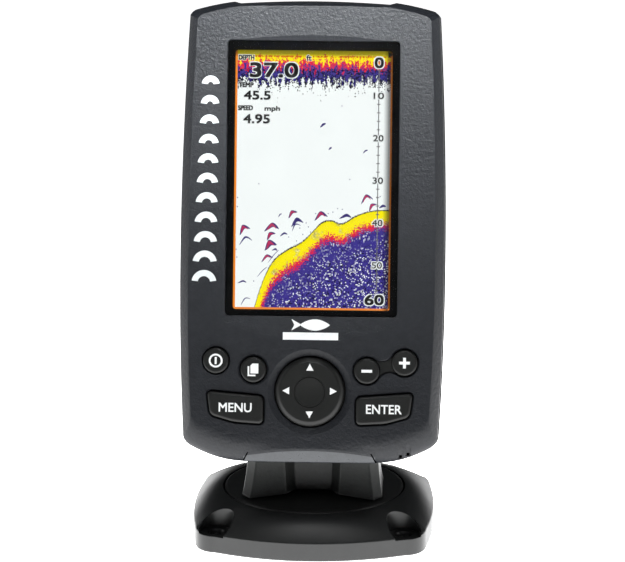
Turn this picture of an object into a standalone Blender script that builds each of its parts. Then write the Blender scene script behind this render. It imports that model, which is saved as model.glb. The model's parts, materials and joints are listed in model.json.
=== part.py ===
"""Fish finder: a small upright sonar display on a bracket that swivels and tilts.

Lengths below are millimetres; the helpers turn them into metres. World axes: +Z up,
the screen faces -Y, +X to the viewer's right, origin on the swivel axis at the underside
of the foot. Case pieces are placed in the case's own frame: X across, Y into the case
from its front face, Z up the face from its bottom edge.
"""
import math

import bmesh
import bpy
from mathutils import Matrix, Vector

MM = 0.001
GAP = 0.3  # between neighbouring pieces

# Foot and swivel
FOOT_HALF_WIDTH = 43.6
FOOT_HALF_LENGTH = 44.0
FOOT_FRONT_BOW = 11.0  # how far the front arc falls back over FOOT_BOW_SPAN
FOOT_SIDE_BOW = 3.2
FOOT_BOW_SPAN = (40.0, 33.0)
FOOT_EDGE = 7.0  # height of the upright wall round the foot
FOOT_RIM = 14.4  # height where the dome meets the disc
SCREW_PLACE = (33.3, 30.3)
SCREW_HOLE_RADIUS = 2.3
SCREW_PAD_HEIGHT = 6.3
SCOOP_RADIUS = 5.8
SCOOP_REACH = (0.6, 2.2)  # how far a scoop runs out to the side and to the front or back
DISC_RADIUS = 32.6
DISC_TOP = 14.6
DISC_BOTTOM = 9.4
POCKET_FLOOR = 8.0
HUB_RADIUS = 20.8
HUB_BOTTOM = 3.8
RETAINER_RADIUS = 27.8
RETAINER_BOTTOM = 0.8

# Yoke and tilt hinge
YOKE_BOTTOM = DISC_TOP + GAP
PIVOT = (-3.8, 50.8)  # world Y and Z of the tilt axis
EAR_INNER = 14.6
EAR_OUTER = 23.4
EYE_RADIUS = 9.5
SHAFT_RADIUS = 3.2
SHAFT_HOLE = SHAFT_RADIUS + GAP
TONGUE_HALF_WIDTH = 12.0
REST_TILT = math.radians(15)

# Case
PIVOT_IN_CASE = (30.0, 24.0)  # depth and height of the tilt axis in the case
CASE_HEIGHT = 163.8
CASE_HALF_WIDTH = 47.3
WIDEST_HEIGHT = 68.8
CASE_DEPTH = 41.0
BOTTOM_EDGE = ((0, 0), (16, 0.2), (23.4, 0.5), (30, 1.8), (36.7, 3.6), (42.7, 5.7))  # right half
TOP_EDGE = ((42.2, 160.5), (29, 163.4), (15, 163.6), (0, CASE_HEIGHT))  # right half
WALL = 2.5
CHAMFER = 2.4
BEZEL_DEPTH = 14.0
GASKET_DEPTH = (BEZEL_DEPTH + GAP, BEZEL_DEPTH + 1.1)
BACK_START = GASKET_DEPTH[1] + GAP
RECESS_HALF_WIDTH = 25.0
RECESS_FRONT = 19.0
RECESS_TOP = 48.0
CASE_SCREWS = {"low": (38.3, 10.0), "middle": (38.0, 85.0), "high": (38.5, 155.0)}
SOCKET_HEIGHT = 96.0

# Window
WINDOW_LOW = 51.9
WINDOW_HIGH = 149.4
WINDOW_HALF_WIDTH = 30.5
SCREEN_LOW = 54.2
SCREEN_HIGH = 146.0
SCREEN_HALF_WIDTH = 27.8

# Keys: across, up
OUTER_KEY = (33.4, 35.9)
INNER_KEY = (20.1, 32.85)
OUTER_KEY_RADIUS = 4.5
KEY_PROUD = 1.4
PAD_CENTRE = (0.0, 25.2)
PAD_RADIUS = 12.2
BAR_KEY = ((36.45, 25.1), (16.45, 23.5), (16.5, 13.65), (27.0, 14.3), (35.3, 16.7))
BAR_CENTRE = (26.3, 19.2)
SOUNDER_SLOTS = ((32.2, 3.4, 6.2), (35.0, 4.2, 7.2))  # across, low, high
MEMBRANE_DEPTH = (5.0, 5.8)


# ---------------------------------------------------------------- helpers
def clear_scene():
    for obj in list(bpy.data.objects):
        bpy.data.objects.remove(obj, do_unlink=True)


def new_collection(name):
    collection = bpy.data.collections.new(name)
    bpy.context.scene.collection.children.link(collection)
    return collection


def empty(name, parent=None, location=(0, 0, 0), tilt=0.0):
    """A frame that pieces are parented to; location is in millimetres."""
    frame = bpy.data.objects.new(name, None)
    PIECES.objects.link(frame)
    frame.parent = parent
    frame.location = Vector(location) * MM
    frame.rotation_euler.x = tilt
    return frame


def material(name, colour, roughness, metallic=0.0, alpha=1.0):
    found = bpy.data.materials.get(name)
    if found:
        return found
    made = bpy.data.materials.new(name)
    made.use_nodes = True
    shader = made.node_tree.nodes["Principled BSDF"]
    shader.inputs["Base Color"].default_value = (*colour, 1.0)
    shader.inputs["Roughness"].default_value = roughness
    shader.inputs["Metallic"].default_value = metallic
    shader.inputs["Alpha"].default_value = alpha
    return made


def add(name, mesh, parent, finish=None, origin=(0, 0, 0)):
    """Put a mesh into the scene: a piece with its finish, or a cutter without one."""
    obj = bpy.data.objects.new(name, mesh)
    obj.parent = parent
    obj.location = Vector(origin) * MM
    if finish is None:
        CUTTERS.objects.link(obj)
        obj.hide_render = True
        obj.display_type = "WIRE"
    else:
        PIECES.objects.link(obj)
        mesh.materials.clear()
        mesh.materials.append(finish)
    return obj


# Each maps an outline's own x, y and thickness to the frame's axes
OUTLINE_AXES = {
    "Z": Matrix.Identity(4),
    "Y": Matrix(((1, 0, 0, 0), (0, 0, -1, 0), (0, 1, 0, 0), (0, 0, 0, 1))),
    "X": Matrix(((0, 0, 1, 0), (1, 0, 0, 0), (0, 1, 0, 0), (0, 0, 0, 1))),
}


def prism(name, outline, start, end, parent, finish=None, along="Y", origin=(0, 0, 0)):
    """A flat outline given thickness from start to end along one axis of its parent.

    The outline is (x, z) along Y, (x, y) along Z and (y, z) along X.
    """
    curve = bpy.data.curves.new(name, "CURVE")
    curve.dimensions = "2D"
    curve.fill_mode = "BOTH"
    curve.extrude = (end - start) / 2 * MM
    spline = curve.splines.new("POLY")
    spline.points.add(len(outline) - 1)
    for point, (x, y) in zip(spline.points, outline):
        point.co = (x * MM, y * MM, 0, 1)
    spline.use_cyclic_u = True
    outline_object = bpy.data.objects.new(name + "_outline", curve)
    CUTTERS.objects.link(outline_object)
    evaluated = outline_object.evaluated_get(bpy.context.evaluated_depsgraph_get())
    mesh = bpy.data.meshes.new_from_object(evaluated)
    bpy.data.objects.remove(outline_object, do_unlink=True)
    middle = (start + end) / 2 * MM
    shift = {"X": (middle, 0, 0), "Y": (0, middle, 0), "Z": (0, 0, middle)}[along]
    mesh.transform(Matrix.Translation(shift) @ OUTLINE_AXES[along])
    form = bmesh.new()
    form.from_mesh(mesh)
    bmesh.ops.remove_doubles(form, verts=form.verts, dist=1e-6)
    bmesh.ops.recalc_face_normals(form, faces=form.faces)
    form.to_mesh(mesh)
    form.free()
    return add(name, mesh, parent, finish, origin)


def box(name, low, high, parent, finish=None):
    low, high = Vector(low) * MM, Vector(high) * MM
    mesh = bpy.data.meshes.new(name)
    form = bmesh.new()
    place = Matrix.Translation((low + high) / 2) @ Matrix.Diagonal((*(high - low), 1))
    bmesh.ops.create_cube(form, size=1.0, matrix=place)
    form.to_mesh(mesh)
    form.free()
    return add(name, mesh, parent, finish)


AXIS_TURN = {
    "Z": Matrix.Identity(4),
    "Y": Matrix.Rotation(math.radians(-90), 4, "X"),
    "X": Matrix.Rotation(math.radians(90), 4, "Y"),
}


def cylinder(
    name, radius, start, end, centre, parent, finish=None, along="Z", sides=24, end_radius=None
):
    """A cylinder or cone from start to end along an axis; centre is its other two places."""
    first, second = centre
    middle = (start + end) / 2
    place = {
        "X": (middle, first, second),
        "Y": (first, middle, second),
        "Z": (first, second, middle),
    }[along]
    mesh = bpy.data.meshes.new(name)
    form = bmesh.new()
    bmesh.ops.create_cone(
        form,
        cap_ends=True,
        segments=sides,
        radius1=radius * MM,
        radius2=(radius if end_radius is None else end_radius) * MM,
        depth=(end - start) * MM,
        matrix=Matrix.Translation(Vector(place) * MM) @ AXIS_TURN[along],
    )
    form.to_mesh(mesh)
    form.free()
    return add(name, mesh, parent, finish)


def turned(name, profile, parent, finish=None, origin=(0, 0, 0), steps=32, closed=False):
    """A profile of (radius, height) turned about its height; it runs down its outer side."""
    mesh = bpy.data.meshes.new(name)
    edges = [(i, i + 1) for i in range(len(profile) - 1)]
    if closed:
        edges.append((len(profile) - 1, 0))
    mesh.from_pydata([(r * MM, 0, h * MM) for r, h in profile], edges, [])
    obj = add(name, mesh, parent, finish, origin)
    screw = obj.modifiers.new("turn", "SCREW")
    screw.steps = steps
    screw.render_steps = steps
    screw.use_merge_vertices = True
    screw.merge_threshold = 1e-6
    return obj


def at(centre, radius, angle):
    """The place at a distance and an angle from a centre."""
    return (centre[0] + radius * math.cos(angle), centre[1] + radius * math.sin(angle))


def boolean(obj, tool, operation="DIFFERENCE"):
    modifier = obj.modifiers.new(operation.lower(), "BOOLEAN")
    modifier.operation = operation
    modifier.solver = "EXACT"
    modifier.object = tool


def cut(obj, *tools):
    for tool in tools:
        boolean(obj, tool)


def bore(obj, name, radius, start, end, centre, parent, along="Z", sides=12, end_radius=None):
    """Cut a round hole or a cone into a piece."""
    cut(obj, cylinder(name, radius, start, end, centre, parent, None, along, sides, end_radius))


def fuse(obj, *tools):
    for tool in tools:
        boolean(obj, tool, "UNION")


def bend(start, corner, end, count=4):
    """Points of a soft corner from start to end, drawn towards corner."""
    points = []
    for step in range(count + 1):
        t = step / count
        near, middle, far = (1 - t) ** 2, 2 * t * (1 - t), t * t
        point = tuple(near * a + middle * b + far * c for a, b, c in zip(start, corner, end))
        points.append(point)
    return points


def rounded(corners, radius, count=3):
    """An outline whose corners are softened over the given distance."""
    points = []
    for i, corner in enumerate(corners):
        here = Vector(corner)
        before = Vector(corners[i - 1]) - here
        after = Vector(corners[(i + 1) % len(corners)]) - here
        reach = min(radius, 0.45 * before.length, 0.45 * after.length)
        start = here + before.normalized() * reach
        end = here + after.normalized() * reach
        points += bend(start, corner, end, count)
    return points


def rectangle(half_width, low, high):
    return [(-half_width, low), (half_width, low), (half_width, high), (-half_width, high)]


def mirrored(right_half):
    """A closed outline from its right half, which runs from the bottom to the top."""
    return right_half + [(-x, y) for x, y in reversed(right_half) if x > 1e-6]


def circle(centre, radius, count=20):
    return [at(centre, radius, 2 * math.pi * step / count) for step in range(count)]


def arc(centre, radius, start, end, count):
    """Points of an arc between two angles in degrees."""
    angles = [math.radians(start + (end - start) * step / count) for step in range(count + 1)]
    return [at(centre, radius, angle) for angle in angles]


def inset(outline, distance):
    """The outline moved inwards by a distance."""
    count = len(outline)
    area = sum(
        outline[i][0] * outline[(i + 1) % count][1] - outline[(i + 1) % count][0] * outline[i][1]
        for i in range(count)
    )
    side = 1 if area > 0 else -1
    points = []
    for i in range(count):
        here = Vector(outline[i])
        into = (here - Vector(outline[i - 1])).normalized()
        out = (Vector(outline[(i + 1) % count]) - here).normalized()
        inward = Vector((-into.y - out.y, into.x + out.x)).normalized() * side
        slant = max(0.5, abs(inward.dot(Vector((-out.y, out.x)))))
        points.append(tuple(here + inward * distance / slant))
    return points


def shrunk(outline, distance):
    """The outline scaled towards its middle, so that each side moves in by a distance."""
    half_width = max(x for x, _ in outline)
    low = min(y for _, y in outline)
    high = max(y for _, y in outline)
    middle, half_height = (low + high) / 2, (high - low) / 2
    across = 1 - distance / half_width
    up = 1 - distance / half_height
    return [(x * across, middle + (y - middle) * up) for x, y in outline]


def lofted(name, places, parent, finish=None):
    """A solid through rings of the same number of (x, y, z) places."""
    mesh = bpy.data.meshes.new(name)
    form = bmesh.new()
    rings = [[form.verts.new(Vector(place) * MM) for place in ring] for ring in places]
    for near, far in zip(rings, rings[1:]):
        for i in range(len(near)):
            j = (i + 1) % len(near)
            form.faces.new((near[i], near[j], far[j], far[i]))
    form.faces.new(rings[0])
    form.faces.new(rings[-1])
    bmesh.ops.recalc_face_normals(form, faces=form.faces)
    form.to_mesh(mesh)
    form.free()
    return add(name, mesh, parent, finish)


# ---------------------------------------------------------------- outlines
def side_width(height):
    """Half width of the case at a height above its bottom edge."""
    bow = 7.0e-4 if height < WIDEST_HEIGHT else 4.2e-4
    return CASE_HALF_WIDTH - bow * (height - WIDEST_HEIGHT) ** 2


def case_outline():
    right = list(BOTTOM_EDGE[:-1])
    right += bend(BOTTOM_EDGE[-1], (44.6, 6.35), (side_width(8.4), 8.4))
    right += [(side_width(h), h) for h in (28, 48, 68.8, 90, 112, 136)]
    right += bend((side_width(158.4), 158.4), (43.8, 160.2), TOP_EDGE[0])
    right += TOP_EDGE[1:]
    return mirrored(right)


def foot_outline():
    def front(x):
        return FOOT_HALF_LENGTH - FOOT_FRONT_BOW * (x / FOOT_BOW_SPAN[0]) ** 2

    def side(y):
        return FOOT_HALF_WIDTH - FOOT_SIDE_BOW * (y / FOOT_BOW_SPAN[1]) ** 2

    right = [(x, -front(x)) for x in (0, 8.5, 17, 25.5)]
    right += bend((34, -front(34)), (41.0, -35.0), (side(26), -26), 5)
    right += [(side(-13), -13), (side(0), 0), (side(13), 13)]
    right += bend((side(26), 26), (41.0, 35.0), (34, front(34)), 5)
    right += [(x, front(x)) for x in (25.5, 17, 8.5, 0)]
    return mirrored(right)


def bar_key_outline(side):
    corners = [(side * x, y) for x, y in BAR_KEY]
    return rounded(corners, 1.6)


# ---------------------------------------------------------------- foot and swivel
def build_foot(base):
    black = material("foot_plastic", (0.022, 0.023, 0.023), 0.38)
    foot = lofted("base_foot", foot_rings(), base, black)
    bore(foot, "disc_pocket", DISC_RADIUS + 0.5, POCKET_FLOOR, 30, (0, 0), base, sides=48)
    bore(foot, "hub_bore", HUB_RADIUS + 0.4, -1, 10, (0, 0), base, sides=32)
    bore(foot, "retainer_pocket", RETAINER_RADIUS + 0.6, -1, HUB_BOTTOM, (0, 0), base, sides=32)
    for side_x in (-1, 1):
        for side_y in (-1, 1):
            screw_scoop(foot, base, side_x, side_y)
    low, high = POCKET_FLOOR + GAP, DISC_BOTTOM - GAP
    washer = [(22, high), (DISC_RADIUS, high), (DISC_RADIUS, low), (22, low)]
    nylon = material("bearing_nylon", (0.7, 0.68, 0.62), 0.45)
    turned("swivel_bearing_washer", washer, base, nylon, steps=32, closed=True)


def foot_rings():
    """An upright wall, then a convex dome that closes in from the outline to the disc."""
    outline = foot_outline()
    rings = [[(x, y, 0) for x, y in outline]]
    for step in (0, 0.12, 0.3, 0.55, 0.8, 1):
        height = FOOT_EDGE + (FOOT_RIM - FOOT_EDGE) * (1 - (1 - step) ** 1.8)
        ring = []
        for x, y in outline:
            to_rim = DISC_RADIUS / math.hypot(x, y)
            share = 1 + (to_rim - 1) * step
            ring.append((x * share, y * share, height))
        rings.append(ring)
    return rings


def screw_scoop(foot, base, side_x, side_y):
    """A scoop that opens at the foot's corner, with a countersunk hole in its floor."""
    place = Vector((side_x * SCREW_PLACE[0], side_y * SCREW_PLACE[1]))
    reach = Vector((side_x * SCOOP_REACH[0], side_y * SCOOP_REACH[1]))
    heading = math.degrees(math.atan2(reach.y, reach.x))
    outline = arc(place, SCOOP_RADIUS, heading + 90, heading + 270, 10)
    outline += arc(place + reach, SCOOP_RADIUS, heading - 90, heading + 90, 10)
    tag = f"{'r' if side_x > 0 else 'l'}{'b' if side_y > 0 else 'f'}"
    cut(foot, prism("scoop_" + tag, outline, SCREW_PAD_HEIGHT, 25, base, along="Z"))
    bore(foot, "hole_" + tag, SCREW_HOLE_RADIUS, -1, 8, place, base, sides=16)
    sink = (SCREW_PAD_HEIGHT - 1.4, SCREW_PAD_HEIGHT + 0.1)
    bore(foot, "sink_" + tag, SCREW_HOLE_RADIUS, *sink, place, base, sides=16, end_radius=3.4)


RETAINER_SCREWS = [at((0, 0), 14, math.radians(turn)) for turn in (90, 210, 330)]
YOKE_SCREWS = ((-16.5, 3.0), (16.5, 3.0))


def screw(name, centre, parent, along, head, shank, sides=12):
    """A pan screw: head and shank are (radius, start, end) along its axis."""
    steel = material("screw_steel", (0.55, 0.55, 0.56), 0.3, 1.0)
    body = cylinder(name, *head, centre, parent, steel, along, sides)
    fuse(body, cylinder(name + "_shank", *shank, centre, parent, None, along, sides))


def build_turntable(swivel):
    disc_black = material("disc_plastic", (0.012, 0.012, 0.013), 0.42)
    profile = [
        (0, DISC_TOP),
        (DISC_RADIUS - 0.6, DISC_TOP),
        (DISC_RADIUS, DISC_TOP - 0.6),
        (DISC_RADIUS, DISC_BOTTOM),
        (HUB_RADIUS, DISC_BOTTOM),
        (HUB_RADIUS, HUB_BOTTOM),
        (0, HUB_BOTTOM),
    ]
    disc = turned("turntable_disc", profile, swivel, disc_black, steps=48)
    low, high = RETAINER_BOTTOM, HUB_BOTTOM - GAP
    ring_profile = [(8, high), (RETAINER_RADIUS, high), (RETAINER_RADIUS, low), (8, low)]
    ring_steel = material("retainer_steel", (0.42, 0.42, 0.43), 0.35, 1.0)
    ring = turned("swivel_retainer_ring", ring_profile, swivel, ring_steel, closed=True)
    for number, centre in enumerate(RETAINER_SCREWS, 1):
        bore(disc, f"retainer_thread_{number}", 1.7, 3, 11, centre, swivel)
        bore(ring, f"retainer_hole_{number}", 1.7, 0, 5, centre, swivel)
        bore(ring, f"retainer_head_{number}", 3.2, 0, 2.5, centre, swivel)
        name = f"retainer_screw_{number}"
        screw(name, centre, swivel, "Z", (2.8, RETAINER_BOTTOM + 0.1, 2.2), (1.4, 2.0, 9.5))
    for number, centre in enumerate(YOKE_SCREWS, 1):
        bore(disc, f"yoke_hole_{number}", 1.8, 3, 22, centre, swivel)
        bore(disc, f"yoke_head_{number}", 3.3, 3, 7.5, centre, swivel)
        screw(f"yoke_screw_{number}", centre, swivel, "Z", (2.9, 4.6, 7.2), (1.5, 7.0, 22.0))


# ---------------------------------------------------------------- yoke and tilt hinge
def build_yoke(swivel):
    dark = material("yoke_plastic", (0.027, 0.029, 0.028), 0.45)
    right_foot = [(0, -7.0), (6.4, -7.0), (9.4, -12.5), (22.3, -18.4), (25.3, -14.2)]
    right_foot += [(25.0, 8.0), (21.0, 11.0), (0, 11.0)]
    yoke = prism("yoke", mirrored(right_foot), YOKE_BOTTOM, 18.5, swivel, dark, "Z")
    ear = [(-16.5, YOKE_BOTTOM + 1), (-13.4, 25.5), (-11.0, 37)]
    ear += arc(PIVOT, EYE_RADIUS, 200, -20, 12)
    ear += [(5.5, 37), (6.5, 25), (10.5, YOKE_BOTTOM + 1)]
    for side, tag in ((-1, "left"), (1, "right")):
        near, far = sorted((side * EAR_INNER, side * EAR_OUTER))
        fuse(yoke, prism("ear_" + tag, ear, near, far, swivel, along="X"))
    fuse(yoke, box("web", (-EAR_INNER - 1, -6, 16), (EAR_INNER + 1, 4.5, 31), swivel))
    bore(yoke, "shaft_hole", SHAFT_HOLE, -30, 30, PIVOT, swivel, "X", 20)
    bore(yoke, "head_pocket", 6.0, 20.4, 30, PIVOT, swivel, "X", 20)
    bore(yoke, "nut_pocket", 6.3, -30, -19.0, PIVOT, swivel, "X", 20)
    for number, centre in enumerate(YOKE_SCREWS, 1):
        bore(yoke, f"yoke_thread_{number}", 1.8, 12, 22.5, centre, swivel)


def build_hinge(swivel):
    steel = material("hinge_steel", (0.5, 0.5, 0.52), 0.28, 1.0)
    shaft = cylinder("tilt_shaft", SHAFT_RADIUS, -23.2, 21.0, PIVOT, swivel, steel, "X", 20)
    fuse(shaft, cylinder("shaft_head", 5.5, 20.7, 23.2, PIVOT, swivel, None, "X", 20))
    nut = prism("tilt_nut", circle(PIVOT, 5.8, 6), -23.2, -20.7, swivel, steel, "X")
    bore(nut, "nut_bore", SHAFT_HOLE, -30, -10, PIVOT, swivel, "X", 20)
    washer = prism("tilt_spring_washer", circle(PIVOT, 5.7, 20), -20.4, -19.3, swivel, steel, "X")
    bore(washer, "washer_bore", SHAFT_HOLE, -30, -10, PIVOT, swivel, "X", 20)
    acetal = material("ratchet_acetal", (0.62, 0.6, 0.55), 0.5)
    teeth = 18
    for side, tag in ((-1, "left"), (1, "right")):
        near, far = sorted((side * (TONGUE_HALF_WIDTH + GAP), side * (EAR_INNER - GAP)))
        rim = [at(PIVOT, (7.9, 8.8)[i % 2], math.pi * i / teeth) for i in range(2 * teeth)]
        ratchet = prism("tilt_ratchet_" + tag, rim, near, far, swivel, acetal, "X")
        bore(ratchet, "ratchet_bore_" + tag, SHAFT_HOLE, -30, 30, PIVOT, swivel, "X", 20)


def build_cradle(case):
    """The quick-release shoe: a tongue round the tilt shaft under a wider block."""
    dark = material("yoke_plastic", (0.027, 0.029, 0.028), 0.45)
    depth = PIVOT_IN_CASE[0]
    half = TONGUE_HALF_WIDTH
    tongue = arc(PIVOT_IN_CASE, 9.0, 180, 360, 10) + [(depth + 6, 40), (depth - 8, 40)]
    cradle = prism("quick_release_shoe", tongue, -half, half, case, dark, "X")
    fuse(cradle, box("shoe_block", (-21, 20.0, 36.6), (21, 33.5, 46.8), case))
    bore(cradle, "tongue_bore", SHAFT_HOLE, -30, 30, PIVOT_IN_CASE, case, "X", 20)
    cut(cradle, box("button_pocket", (-9.4, 25.6, 38.6), (9.4, 40, 45.0), case))
    button = material("button_plastic", (0.03, 0.03, 0.032), 0.5)
    outline = rounded(rectangle(9.0, 39.0, 44.6), 1.5)
    release = prism("release_button", outline, 29.8, 37.0, case, button)
    bore(release, "spring_seat", 3.0, 20, 31.5, (0, 41.8), case, "Y", 16)
    build_spring(case)


def build_spring(case):
    steel = material("spring_steel", (0.6, 0.6, 0.6), 0.3, 1.0)
    curve = bpy.data.curves.new("release_spring", "CURVE")
    curve.dimensions = "3D"
    curve.bevel_depth = 0.3 * MM
    curve.bevel_resolution = 1
    curve.use_fill_caps = True
    turns, per_turn = 3, 10
    spline = curve.splines.new("POLY")
    spline.points.add(turns * per_turn)
    for i, point in enumerate(spline.points):
        angle = 2 * math.pi * i / per_turn
        depth = 26.3 + (31.1 - 26.3) * i / (turns * per_turn)
        place = (2.2 * math.cos(angle), depth, 41.8 + 2.2 * math.sin(angle))
        point.co = (*(c * MM for c in place), 1)
    spring = bpy.data.objects.new("release_spring", curve)
    PIECES.objects.link(spring)
    spring.parent = case
    curve.materials.append(steel)


# ---------------------------------------------------------------- case shells
def build_front_bezel(case):
    slate = material("case_plastic", (0.085, 0.095, 0.105), 0.55)
    outline = case_outline()
    sections = ((0, CHAMFER), (CHAMFER, 0), (BEZEL_DEPTH, 0))
    rings = [[(x, depth, z) for x, z in shrunk(outline, narrow)] for depth, narrow in sections]
    bezel = lofted("front_bezel", rings, case, slate)
    hollow = prism("bezel_hollow", shrunk(outline, WALL + GAP), WALL, 30, case)
    for tag, place in both_sides(CASE_SCREWS):
        cut(hollow, cylinder("front_boss_" + tag, 3.4, 0, 32, place, case, None, "Y", 12))
    opening = rounded(rectangle(WINDOW_HALF_WIDTH, WINDOW_LOW, WINDOW_HIGH), 1.5)
    cut(bezel, hollow, prism("window_opening", opening, -5, 9, case))
    for tag, place in both_sides(CASE_SCREWS):
        bore(bezel, "pilot_" + tag, 1.6, 5.5, 20, place, case, "Y", 10)
    bore(bezel, "pad_hole", PAD_RADIUS + 0.5, -5, 9, PAD_CENTRE, case, "Y", 32)
    for tag, place in both_sides({"outer": OUTER_KEY, "inner": INNER_KEY}):
        bore(bezel, "hole_" + tag, OUTER_KEY_RADIUS + 0.35, -5, 9, place, case, "Y", 20)
    for side, tag in ((-1, "left"), (1, "right")):
        cut(bezel, prism("bar_hole_" + tag, inset(bar_key_outline(side), -0.35), -5, 9, case))
    cut(bezel, zoom_web_opening(case))
    for number, (x, low, high) in enumerate(SOUNDER_SLOTS):
        corners = [(x - 0.9, low), (x + 0.9, low), (x + 0.9, high), (x - 0.9, high)]
        cut(bezel, prism(f"sounder_slot_{number}", rounded(corners, 0.8), -5, 9, case))


def both_sides(places):
    """Names and places of features that repeat at the left and the right."""
    found = []
    for tag, (x, z) in places.items():
        found.append(("left_" + tag, (-x, z)))
        found.append(("right_" + tag, (x, z)))
    return found


def chamfer(obj, width):
    """Cut the front rim of an upright prism to a slope."""
    mesh = obj.data
    form = bmesh.new()
    form.from_mesh(mesh)
    front = min(v.co.y for v in form.verts)
    rim = [
        e
        for e in form.edges
        if all(abs(v.co.y - front) < 1e-6 for v in e.verts)
        and any(abs(f.normal.y) < 0.5 for f in e.link_faces)
    ]
    bmesh.ops.bevel(form, geom=rim, offset=width * MM, segments=1, affect="EDGES")
    form.to_mesh(mesh)
    form.free()


def zoom_web_opening(case):
    """The slot that joins the two zoom key holes."""
    start, end = Vector(INNER_KEY), Vector(OUTER_KEY)
    across = (end - start).normalized()
    up = Vector((-across.y, across.x)) * 1.9
    corners = [start - up, end - up, end + up, start + up]
    return prism("zoom_slot", [tuple(c) for c in corners], -5, 9, case)


def recess_outline(grow=0.0):
    return [
        (-RECESS_HALF_WIDTH - grow, -10),
        (RECESS_HALF_WIDTH + grow, -10),
        (RECESS_HALF_WIDTH + grow, RECESS_TOP + grow),
        (-RECESS_HALF_WIDTH - grow, RECESS_TOP + grow),
    ]


def build_back_shell(case):
    dark = material("back_plastic", (0.02, 0.022, 0.024), 0.5)
    outline = shrunk(case_outline(), 0.4)
    inner = rounded_back(shrunk(outline, WALL), 10, CASE_DEPTH - WALL)
    back = lofted("back_shell", rounded_back(outline, BACK_START, CASE_DEPTH), case, dark)
    hollow = lofted("back_hollow", inner, case)
    cut(hollow, prism("recess_wall", recess_outline(WALL), RECESS_FRONT - WALL, 60, case))
    for tag, place in both_sides(CASE_SCREWS):
        cut(hollow, cylinder("back_boss_" + tag, 4.6, 0, 60, place, case, None, "Y", 12))
    cut(back, hollow, prism("recess", recess_outline(), RECESS_FRONT, 60, case))
    for tag, place in both_sides(CASE_SCREWS):
        bore(back, "screw_hole_" + tag, 1.7, 5, 30, place, case, "Y", 10)
        bore(back, "screw_well_" + tag, 3.3, 22, 60, place, case, "Y", 12)
        screw("case_screw_" + tag, place, case, "Y", (2.9, 22.3, 24.6), (1.3, 6.5, 22.5), 10)
    bore(back, "socket_hole", 9.4, 30, 60, (0, SOCKET_HEIGHT), case, "Y", 24)


def rounded_back(outline, start, end):
    """Rings of a shell whose sides taper a little and turn softly into its back."""
    sections = ((start, 0.0), (end - 12, 1.0), (end - 5, 3.0), (end - 1.5, 6.5), (end, 11.0))
    return [[(x, depth, z) for x, z in shrunk(outline, narrowing)] for depth, narrowing in sections]


def build_gasket(case):
    rubber = material("gasket_rubber", (0.012, 0.012, 0.012), 0.7)
    outline = case_outline()
    gasket = prism("shell_gasket", shrunk(outline, 0.8), *GASKET_DEPTH, case, rubber)
    cut(gasket, prism("gasket_inside", shrunk(outline, 2.3), 10, 20, case))


def build_socket(case):
    black = material("socket_plastic", (0.018, 0.018, 0.019), 0.4)
    place = (0, SOCKET_HEIGHT)
    rear_wall = CASE_DEPTH - WALL
    shell = cylinder("socket_collar", 9.0, 33.5, 47.5, place, case, black, "Y", 24)
    flange = cylinder("socket_flange", 12.0, 33.5, rear_wall - GAP, place, case, None, "Y", 24)
    fuse(shell, flange)
    bore(shell, "socket_bore", 7.0, 30, 60, place, case, "Y", 20)
    grey = material("insert_plastic", (0.1, 0.1, 0.1), 0.5)
    insert = cylinder("socket_insert", 6.7, 33.5, 38.5, place, case, grey, "Y", 20)
    brass = material("pin_brass", (0.75, 0.55, 0.25), 0.25, 1.0)
    for number in range(5):
        centre = at(place, 3.6, math.radians(90 + 72 * number))
        bore(insert, f"pin_hole_{number}", 0.9, 30, 45, centre, case, "Y", 8)
        cylinder(f"socket_pin_{number + 1}", 0.6, 32.5, 41.0, centre, case, brass, "Y", 8)


# ---------------------------------------------------------------- window and screen
def frame_ring(name, outer, inner, start, end, case, finish, soft=1.0):
    """A rectangular ring; outer and inner are (half width, low, high)."""
    ring = prism(name, rounded(rectangle(*outer), soft), start, end, case, finish)
    cut(ring, prism(name + "_opening", rounded(rectangle(*inner), soft), start - 5, end + 5, case))
    return ring


def build_window(case):
    glass = material("window_acrylic", (0.6, 0.62, 0.64), 0.05, 0.0, 0.35)
    lens = rounded(rectangle(WINDOW_HALF_WIDTH - GAP, WINDOW_LOW + GAP, WINDOW_HIGH - GAP), 1.3)
    prism("window_lens", lens, 0.5, 2.5, case, glass)
    gloss = material("mask_black", (0.006, 0.006, 0.006), 0.12)
    outer = (33.4, WINDOW_LOW - 2.6, WINDOW_HIGH + 2.6)
    inner = (SCREEN_HALF_WIDTH, SCREEN_LOW, SCREEN_HIGH)
    frame_ring("window_mask", outer, inner, 2.8, 3.2, case, gloss)
    foam = material("seal_foam", (0.02, 0.02, 0.02), 0.9)
    seal_inner = (SCREEN_HALF_WIDTH + 0.6, SCREEN_LOW - 0.6, SCREEN_HIGH + 0.6)
    frame_ring("window_seal", outer, seal_inner, 3.5, 4.3, case, foam)
    panel = material("lcd_glass", (0.03, 0.035, 0.04), 0.15)
    glass_outline = rectangle(32.0, WINDOW_LOW - 1.0, WINDOW_HIGH + 1.0)
    prism("lcd_panel", glass_outline, 4.6, 5.8, case, panel)
    tray = material("tray_steel", (0.5, 0.51, 0.52), 0.35, 1.0)
    tray_outline = rectangle(32.6, WINDOW_LOW - 1.6, WINDOW_HIGH + 1.6)
    prism("lcd_backlight", tray_outline, 6.1, 8.6, case, tray)
    frame = material("chassis_plastic", (0.05, 0.05, 0.055), 0.6)
    outer = (34.5, WINDOW_LOW - 3, WINDOW_HIGH + 2.5)
    inner = (24.0, WINDOW_LOW + 10, WINDOW_HIGH - 10)
    chassis = frame_ring("inner_chassis", outer, inner, 8.9, 10.4, case, frame)
    for tag, place in both_sides({"low": (29, 58), "high": (29, 143)}):
        fuse(chassis, cylinder("standoff_" + tag, 2.2, 9.5, 12.7, place, case, None, "Y", 8))


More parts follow.
